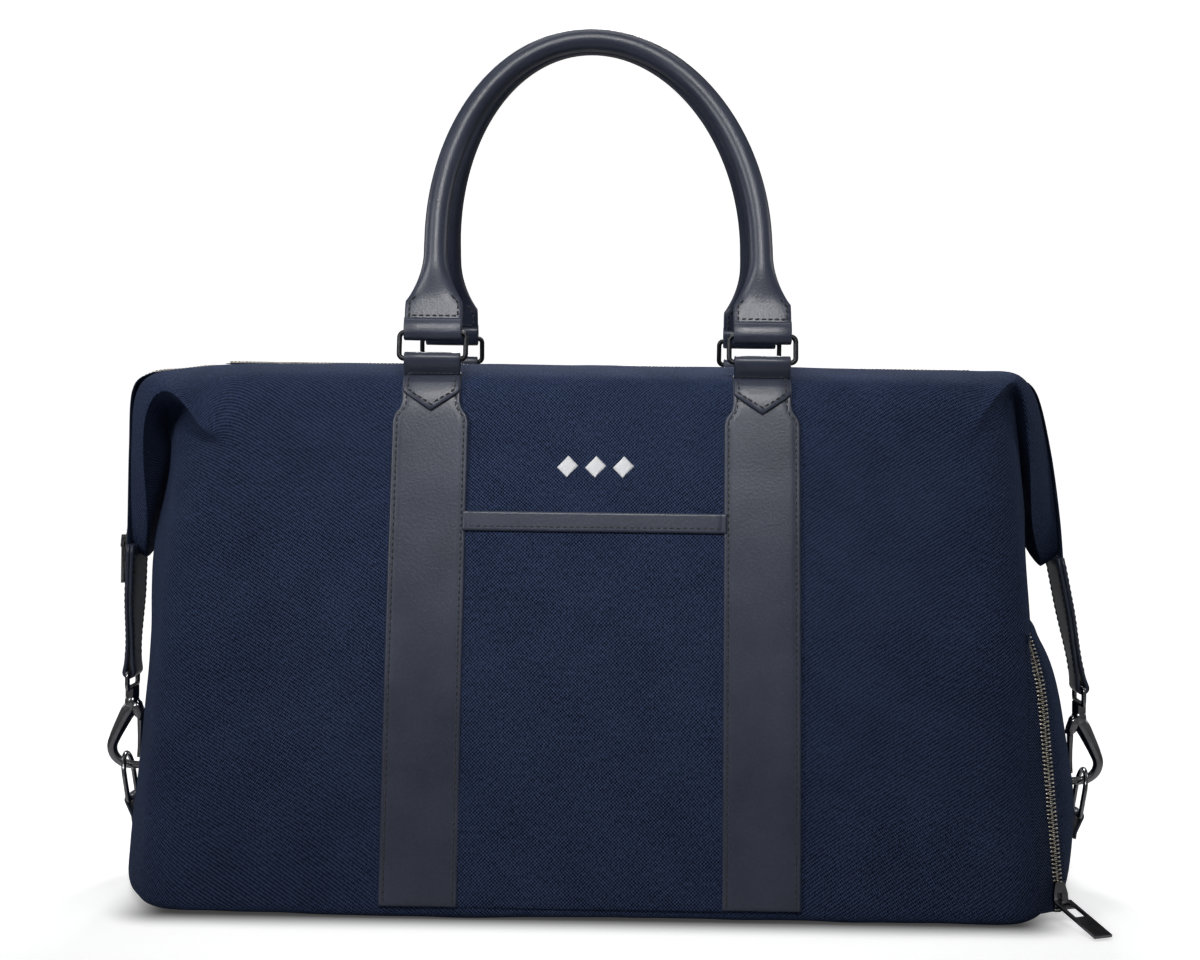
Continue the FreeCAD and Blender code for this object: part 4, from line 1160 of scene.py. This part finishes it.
def build_shoe_zip():
    """A band of tape with the metal teeth along it, up the pocket's front corner."""
    levels = [6 + 3 * step for step in range(52)]
    path = [shoe_line(z) for z in levels]
    points = []
    cloth = []
    for z, middle in zip(levels, path):
        share = 0.80 - 0.10 * math.sin(math.pi * min(1, z / 160))
        seam = wall_point("right", "corner", share, z) + Vector((-0.5, -0.2, 0))
        away = (middle - seam).normalized()
        out = Vector((away.y, -away.x, 0))
        if out.y > 0:
            out = -out
        row = [seam - away * 1.5 + out * -1.2, seam + out * 0.7, seam.lerp(middle, 0.5) + out * 0.9,
               middle + out * 0.6, middle + Vector((3.0, 1.2, 0)), middle + Vector((6, 5.0, 0)) + out * 0.5]
        points += row
        cloth += [(across * MM, z * MM) for across in running(row)]
    tape = mesh_object("shoe_tape", points, grid_faces(len(levels), 6), TAPE, "zip_tape", cloth)
    stand_in(applied(tape, levels=1), "bag", "shoe_zip_tape")
    turn = math.radians(58)
    normal = Vector((math.cos(turn), -math.sin(turn), 0.14)).normalized()
    teeth = zip_teeth("shoe_teeth", [point + normal * 0.6 for point in path], [normal] * len(path), 7.0, 1.8)
    stand_in(teeth, "bag", "shoe_zip_teeth")


build_shoe_pocket()
build_shoe_zip()


# ---------------------------------------------------------------- tabs, keepers and hooks

TAB_NARROW, TAB_WIDE = 11.5, 20
TAB_BEND = 1.9
LAYER = 2.1


def build_tab(side):
    """The two-layer leather tab below a wing, folded round the swivel eye's bar."""
    sign = SIGN[side]
    bar = pivot(side + "_eye_rock")
    top = Vector((sign * (FOLDS[side][13][2][0] - 3), 0, mm_box(side + "_tab")[1].z + 13))
    bottom = Vector((bar.x, 0, bar.z))
    length = (top - bottom).length
    along = (top - bottom) / length
    out = Vector((sign * along.z, 0, -sign * along.x))
    heights = [0.0] * 9 + [length * step / 16 for step in range(1, 17)]
    seam_heights = [9 + 2 * step for step in range(int((length - 11) / 2))]

    def half_at(up):
        """Half the tab's width: narrow at the loop, flaring to the wing's tip."""
        return TAB_NARROW + (TAB_WIDE - TAB_NARROW) * eased(clamped(up, 12, 12 + length * 0.5))

    def opened(up):
        """How far each layer bends away from the middle to go round the bar."""
        return 1.7 * math.exp(-up / 7)

    for name, face in (("outer", 1), ("inner", -1)):
        path = []
        normals = []
        for step in range(9):
            angle = math.pi / 2 * step / 8
            away = out * (face * math.sin(angle)) - along * math.cos(angle)
            path.append(bottom + away * TAB_BEND)
            normals.append(away)
        for up in heights[9:]:
            path.append(bottom + along * up + out * (face * (0.25 + opened(up))))
            normals.append(out * face)
        piece = sweep("%s_tab_%s" % (side, name), path, normals,
                      lambda index: strip_profile(half_at(heights[index]), LAYER), LEATHER, "leather")
        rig.ride(piece, side + "_wing")
        if name == "outer":
            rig.replaces(piece, side + "_tab")
        for edge in (-1, 1):
            curve = [bottom + along * up + out * (face * (0.35 + LAYER + opened(up)))
                     + Vector((0, edge * (half_at(up) - STITCH_IN), 0)) for up in seam_heights]
            stitches("%s_tab_%s_seam_%d" % (side, name, edge + 1), curve, [out * face] * len(curve),
                     side + "_wing")


def build_keeper(side):
    """The small folded leather loop that holds the D-ring to the bag's end."""
    sign = SIGN[side]
    bar = pivot(side + "_d_ring_hinge")
    low, high = mm_box(side + "_keeper")
    wall = low.x if side == "right" else high.x
    path = [Vector((wall + sign * 0.6, 0, low.z + 1)), Vector((wall + sign * 1.2, 0, low.z + 6))]
    normals = [Vector((-sign, 0, 0))] * 2
    for step in range(13):
        angle = math.radians(190 - 215 * step / 12)
        normals.append(Vector((sign * math.cos(angle), 0, math.sin(angle))))
        path.append(Vector((bar.x, 0, bar.z)) + normals[-1] * 1.75)
    path += [Vector((wall + sign * 3.2, 0, low.z + 5)), Vector((wall + sign * 2.6, 0, low.z + 1))]
    normals += [Vector((sign, 0, 0))] * 2
    strip = sweep(side + "_keeper_leather", path, normals, lambda index: strip_profile(8.5, 1.7, 0.6),
                  LEATHER, "leather")
    stand_in(strip, "bag", side + "_keeper")


def cast_metal(name, path, radii, body):
    """A smooth cast shape: an oval section, its (wide, thick) radii changing along a path in a plane."""
    def profile(index):
        """An oval as wide and as thick as the radii at this place along the path."""
        place = index / (len(path) - 1) * (len(radii) - 1)
        first = min(int(place), len(radii) - 2)
        part = place - first
        wide, thick = (a * (1 - part) + b * part for a, b in zip(radii[first], radii[first + 1]))
        return ring_profile(wide, thick, 20, 2.3)

    normals = [Vector((0, 1, 0))] * len(path)
    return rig.ride(sweep(name, path, normals, profile, BLACK_NICKEL, "dark_metal"), body)


# Each place down the hook's back: how far out it lies, its height, and the oval's two radii.
HOOK_BACK = ((-0.5, 12, 2.4, 2.6), (2, 19, 4.2, 3.9), (6, 15.5, 4.7, 4.2), (10.8, 6.5, 4.2, 4.0),
             (14.3, -1, 3.8, 3.6), (16, -6.5, 3.4, 3.2), (14.6, -12, 3.0, 2.9), (10, -16.2, 2.8, 2.6),
             (4.5, -17.7, 2.6, 2.5), (-0.5, -17.8, 2.4, 2.4), (-3.7, -17.5, 1.9, 1.9))
COLLAR = ((1.7, 1.7), (1.7, 1.7), (1.8, 1.8), (2.2, 2.2), (4.2, 4.2), (4.5, 4.5), (4.4, 4.3), (3.9, 4.0),
          (3.0, 3.4))
CHEEK = ((1.7, 0.75), (2.6, 0.95), (2.9, 1.1), (2.2, 1.3))
GATE = ((2.1, 2.0), (1.9, 1.8), (1.6, 1.6), (1.6, 1.6), (1.9, 1.9))
GATE_DROPS = (1.5, -6, -14, -21, -25.5)


def build_hook(side):
    """A cast snap hook: broad shoulder, curved back, round hooked end and hinged gate."""
    sign = SIGN[side]
    top = pivot(side + "_eye_rock")
    hinge = pivot(side + "_gate_hinge")
    body = side + "_snap_hook"
    back = [Vector((top.x - sign * 4 + sign * x, 0, top.z - 40 + z)) for x, z, _, _ in HOOK_BACK]
    hook = cast_metal(side + "_hook_body", smooth_path(back, 1.2), [place[2:] for place in HOOK_BACK], body)
    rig.replaces(hook, side + "_hook")
    collar = [Vector((top.x, 0, top.z - 9 - 2.0 * step)) for step in range(len(COLLAR))]
    cast_metal(side + "_hook_collar", collar, COLLAR, body)
    for cheek in (-1, 1):
        path = [Vector((hinge.x + sign * (1.5 * step - 1.2), cheek * 3.1, hinge.z + 3.6 * step - 2.4))
                for step in range(len(CHEEK))]
        cast_metal("%s_cheek_%d" % (side, cheek + 1), path, CHEEK, body)
    bar = smooth_path([Vector((hinge.x, 0, hinge.z + drop)) for drop in GATE_DROPS], 1.5)
    gate = cast_metal(side + "_gate_bar", bar, GATE, side + "_snap_gate")
    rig.replaces(gate, side + "_gate")


for side in ("left", "right"):
    build_tab(side)
    build_keeper(side)
    build_hook(side)


# ---------------------------------------------------------------- metal kept from the CAD

def eased_copy(label, body, width):
    """A zip slider or pull in the CAD's shape with its hard edges rounded."""
    made = bpy.data.objects.new(label + "_cast", frame["nodes"][label].data.copy())
    bpy.context.scene.collection.objects.link(made)
    made.data.materials.clear()
    made.data.materials.append(BLACK_NICKEL)
    weld = made.modifiers.new("weld", "WELD")
    weld.merge_threshold = 0.00001
    flat = made.modifiers.new("flat", "DECIMATE")
    flat.decimate_type = "DISSOLVE"
    flat.angle_limit = math.radians(2)
    applied(made, bevel=width, angle=math.radians(35))
    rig.slot(made, "dark_metal")
    stand_in(made, body, label)


eased_copy("main_zip_slider", "main_slider", 0.5)
eased_copy("main_zip_pull", "main_pull", 0.35)
eased_copy("shoe_zip_slider", "shoe_slider", 0.5)
eased_copy("shoe_zip_pull", "shoe_pull", 0.4)

KEPT = {"front_rings": SATIN_BLACK, "rear_rings": SATIN_BLACK, "base_feet": SATIN_BLACK, "base_board": BOARD}
for side in SIGN:
    for part in ("swivel_eye", "gate_pin", "d_ring"):
        KEPT[side + "_" + part] = BLACK_NICKEL
for label, material in KEPT.items():
    mesh = frame["nodes"][label].data
    mesh.materials.clear()
    mesh.materials.append(material)
    mesh.polygons.foreach_set("use_smooth", [True] * len(mesh.polygons))


visual_low, visual_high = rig.bounds()
boxes = {"cad": [list(cad_low), list(cad_high)], "visual": [list(visual_low), list(visual_high)]}
with open("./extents.json", "w") as sizes:
    json.dump(boxes, sizes)


# ---------------------------------------------------------------- floor, light and camera

SKY = 0.04
GLOSS_SKY = 0.16
FOOTPRINT = (0.238, 0.108, 5.0)
# How far the floor's painted contact shadow and its wider painted soft shadow reach round the footprint, in metres.
CONTACT_SHADOW_REACH, WIDE_SHADOW_REACH = 0.040, 0.6


def footprint_distance(tree):
    """How far a point of the floor is from the bag's footprint, in metres."""
    value = node(tree, "NewGeometry").outputs["Position"]
    for operation, other in (("ABSOLUTE", None), ("SUBTRACT", FOOTPRINT), ("MAXIMUM", (0, 0, 0))):
        step = node(tree, "VectorMath", operation=operation, Vector=value)
        if other:
            step.inputs[1].default_value = other
        value = step.outputs["Vector"]
    return node(tree, "VectorMath", operation="LENGTH", Vector=value).outputs["Value"]


def rising(tree, value, reach, amount):
    """Smoothly from 0 up to amount as a socket goes from 0 to reach."""
    return node(tree, "MapRange", interpolation_type="SMOOTHSTEP", Value=value, From_Max=reach,
                To_Max=amount).outputs[0]


def floor_material():
    """White that glows for the camera alone, with painted shadow round the bag: a dark painted contact shadow in both
    paint and glow close to the footprint, and a wider painted soft shadow that dims the glow further out.
    """
    material, tree, shader = new_material("studio_white_painted_shadow")
    distance = footprint_distance(tree)
    # Painted contact shadow: it lifts from nothing at the footprint over a few centimetres, and a wider painted soft
    # shadow lifts over the next half metre.
    contact_shadow = rising(tree, distance, CONTACT_SHADOW_REACH, 0.55)
    wide_shadow = rising(tree, distance, WIDE_SHADOW_REACH, 0.40)
    grain = node(tree, "TexNoise", Scale=3.0, Detail=2.0).outputs["Fac"]
    paint = ramp(tree, grain, 0.0, (0.91, 0.91, 0.91), 1.0, (0.93, 0.93, 0.93))
    # Paint darkened close round the bag: painted contact shadow in the base colour.
    shade = weighted(tree, (contact_shadow, 1.6), start=0.12)
    pale = node(tree, "VectorMath", operation="SCALE", Vector=paint, Scale=shade)
    camera_only = node(tree, "LightPath").outputs["Is Camera Ray"]
    # Glow lowered round the bag: painted contact shadow near the footprint and painted soft shadow further out.
    glow = weighted(tree, (contact_shadow, 1.0), (wide_shadow, 1.0), start=0.05)
    feed(tree, shader, Base_Color=pale.outputs["Vector"], Roughness=0.9, Specular_IOR_Level=0.1,
         Emission_Color=(1, 1, 1, 1), Emission_Strength=math_node(tree, "MULTIPLY", camera_only, glow))
    return material


def build_floor():
    """A plain white floor that turns up into a plain white backdrop."""
    turn = [math.pi / 2 * step / 12 for step in range(1, 13)]
    rows = [(-3000, 0), (0, 0), (1500, 0)]
    rows += [(1500 + 900 * math.sin(angle), 900 * (1 - math.cos(angle))) for angle in turn]
    rows.append((2400, 4000))
    points = [(x, y, z) for y, z in rows for x in (-5000, 5000)]
    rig.stage(mesh_object("studio_floor", points, grid_faces(len(rows), 2), floor_material(), None))


def soft_light(name, place, aim, size, power, beam=180):
    """A large rectangular area light pointing at a place, its beam narrowed to an angle in degrees."""
    light = bpy.data.lights.new(name, "AREA")
    light.shape = "RECTANGLE"
    light.size, light.size_y = size
    light.energy = power
    light.spread = math.radians(beam)
    lamp = bpy.data.objects.new(name, light)
    bpy.context.scene.collection.objects.link(lamp)
    lamp.location = place
    lamp.rotation_euler = (Vector(aim) - Vector(place)).to_track_quat("-Z", "Y").to_euler()


def build_sky():
    """A dim even sky that is bright only to the camera and in reflections."""
    world = bpy.data.worlds.new("studio")
    world.use_nodes = True
    tree = world.node_tree
    rays = node(tree, "LightPath").outputs
    seen, mirrored = rays["Is Camera Ray"], rays["Is Glossy Ray"]
    strength = weighted(tree, (seen, 1 - SKY), (mirrored, GLOSS_SKY), start=SKY)
    feed(tree, tree.nodes["Background"], Color=(1, 1, 1, 1), Strength=strength)
    bpy.context.scene.world = world


def build_lights():
    """A soft key high in front and behind, a strip along the left, a top light and one at each end."""
    middle = (0, 0, 0.25)
    soft_light("key", (0, -1.15, 1.20), middle, (0.5, 0.4), 0.58, beam=32)
    soft_light("rear key", (0, 1.15, 1.20), middle, (0.5, 0.4), 1.2, beam=50)
    soft_light("strip", (-0.9, -0.9, 0.9), (0, 0, 0.45), (0.10, 0.7), 0.9, beam=60)
    soft_light("top", (0, 0.1, 1.6), (0, 0, 0.2), (1.0, 0.5), 4)
    for side in (-1, 1):
        soft_light("end %d" % side, (1.5 * side, 0.5, 0.8), (0, 0, 0.2), (0.4, 0.4), 0.3, beam=60)


CAMERA_YAW = math.radians(0.8)
CAMERA_ROLL = math.radians(0.7)
CAMERA_DISTANCE = 1.320
CAMERA_HEIGHT = 0.298


def build_camera():
    """Level with the bag's rim, a little to its right, with the horizon above the picture's middle."""
    lens = bpy.data.cameras.new("camera")
    lens.sensor_width = 36
    lens.lens = 64.8
    lens.shift_x = 0.0012
    lens.shift_y = -0.0775
    camera = bpy.data.objects.new("camera", lens)
    bpy.context.scene.collection.objects.link(camera)
    turn = (Matrix.Rotation(CAMERA_YAW, 4, "Z") @ Matrix.Rotation(math.pi / 2, 4, "X")
            @ Matrix.Rotation(CAMERA_ROLL, 4, "Z"))
    away = CAMERA_DISTANCE * Vector((math.sin(CAMERA_YAW), -math.cos(CAMERA_YAW), 0))
    camera.matrix_world = Matrix.Translation(away + CAMERA_HEIGHT * UP) @ turn
    bpy.context.scene.camera = camera


build_floor()
build_lights()
build_sky()
build_camera()
bpy.context.scene.view_settings.view_transform = "Standard"
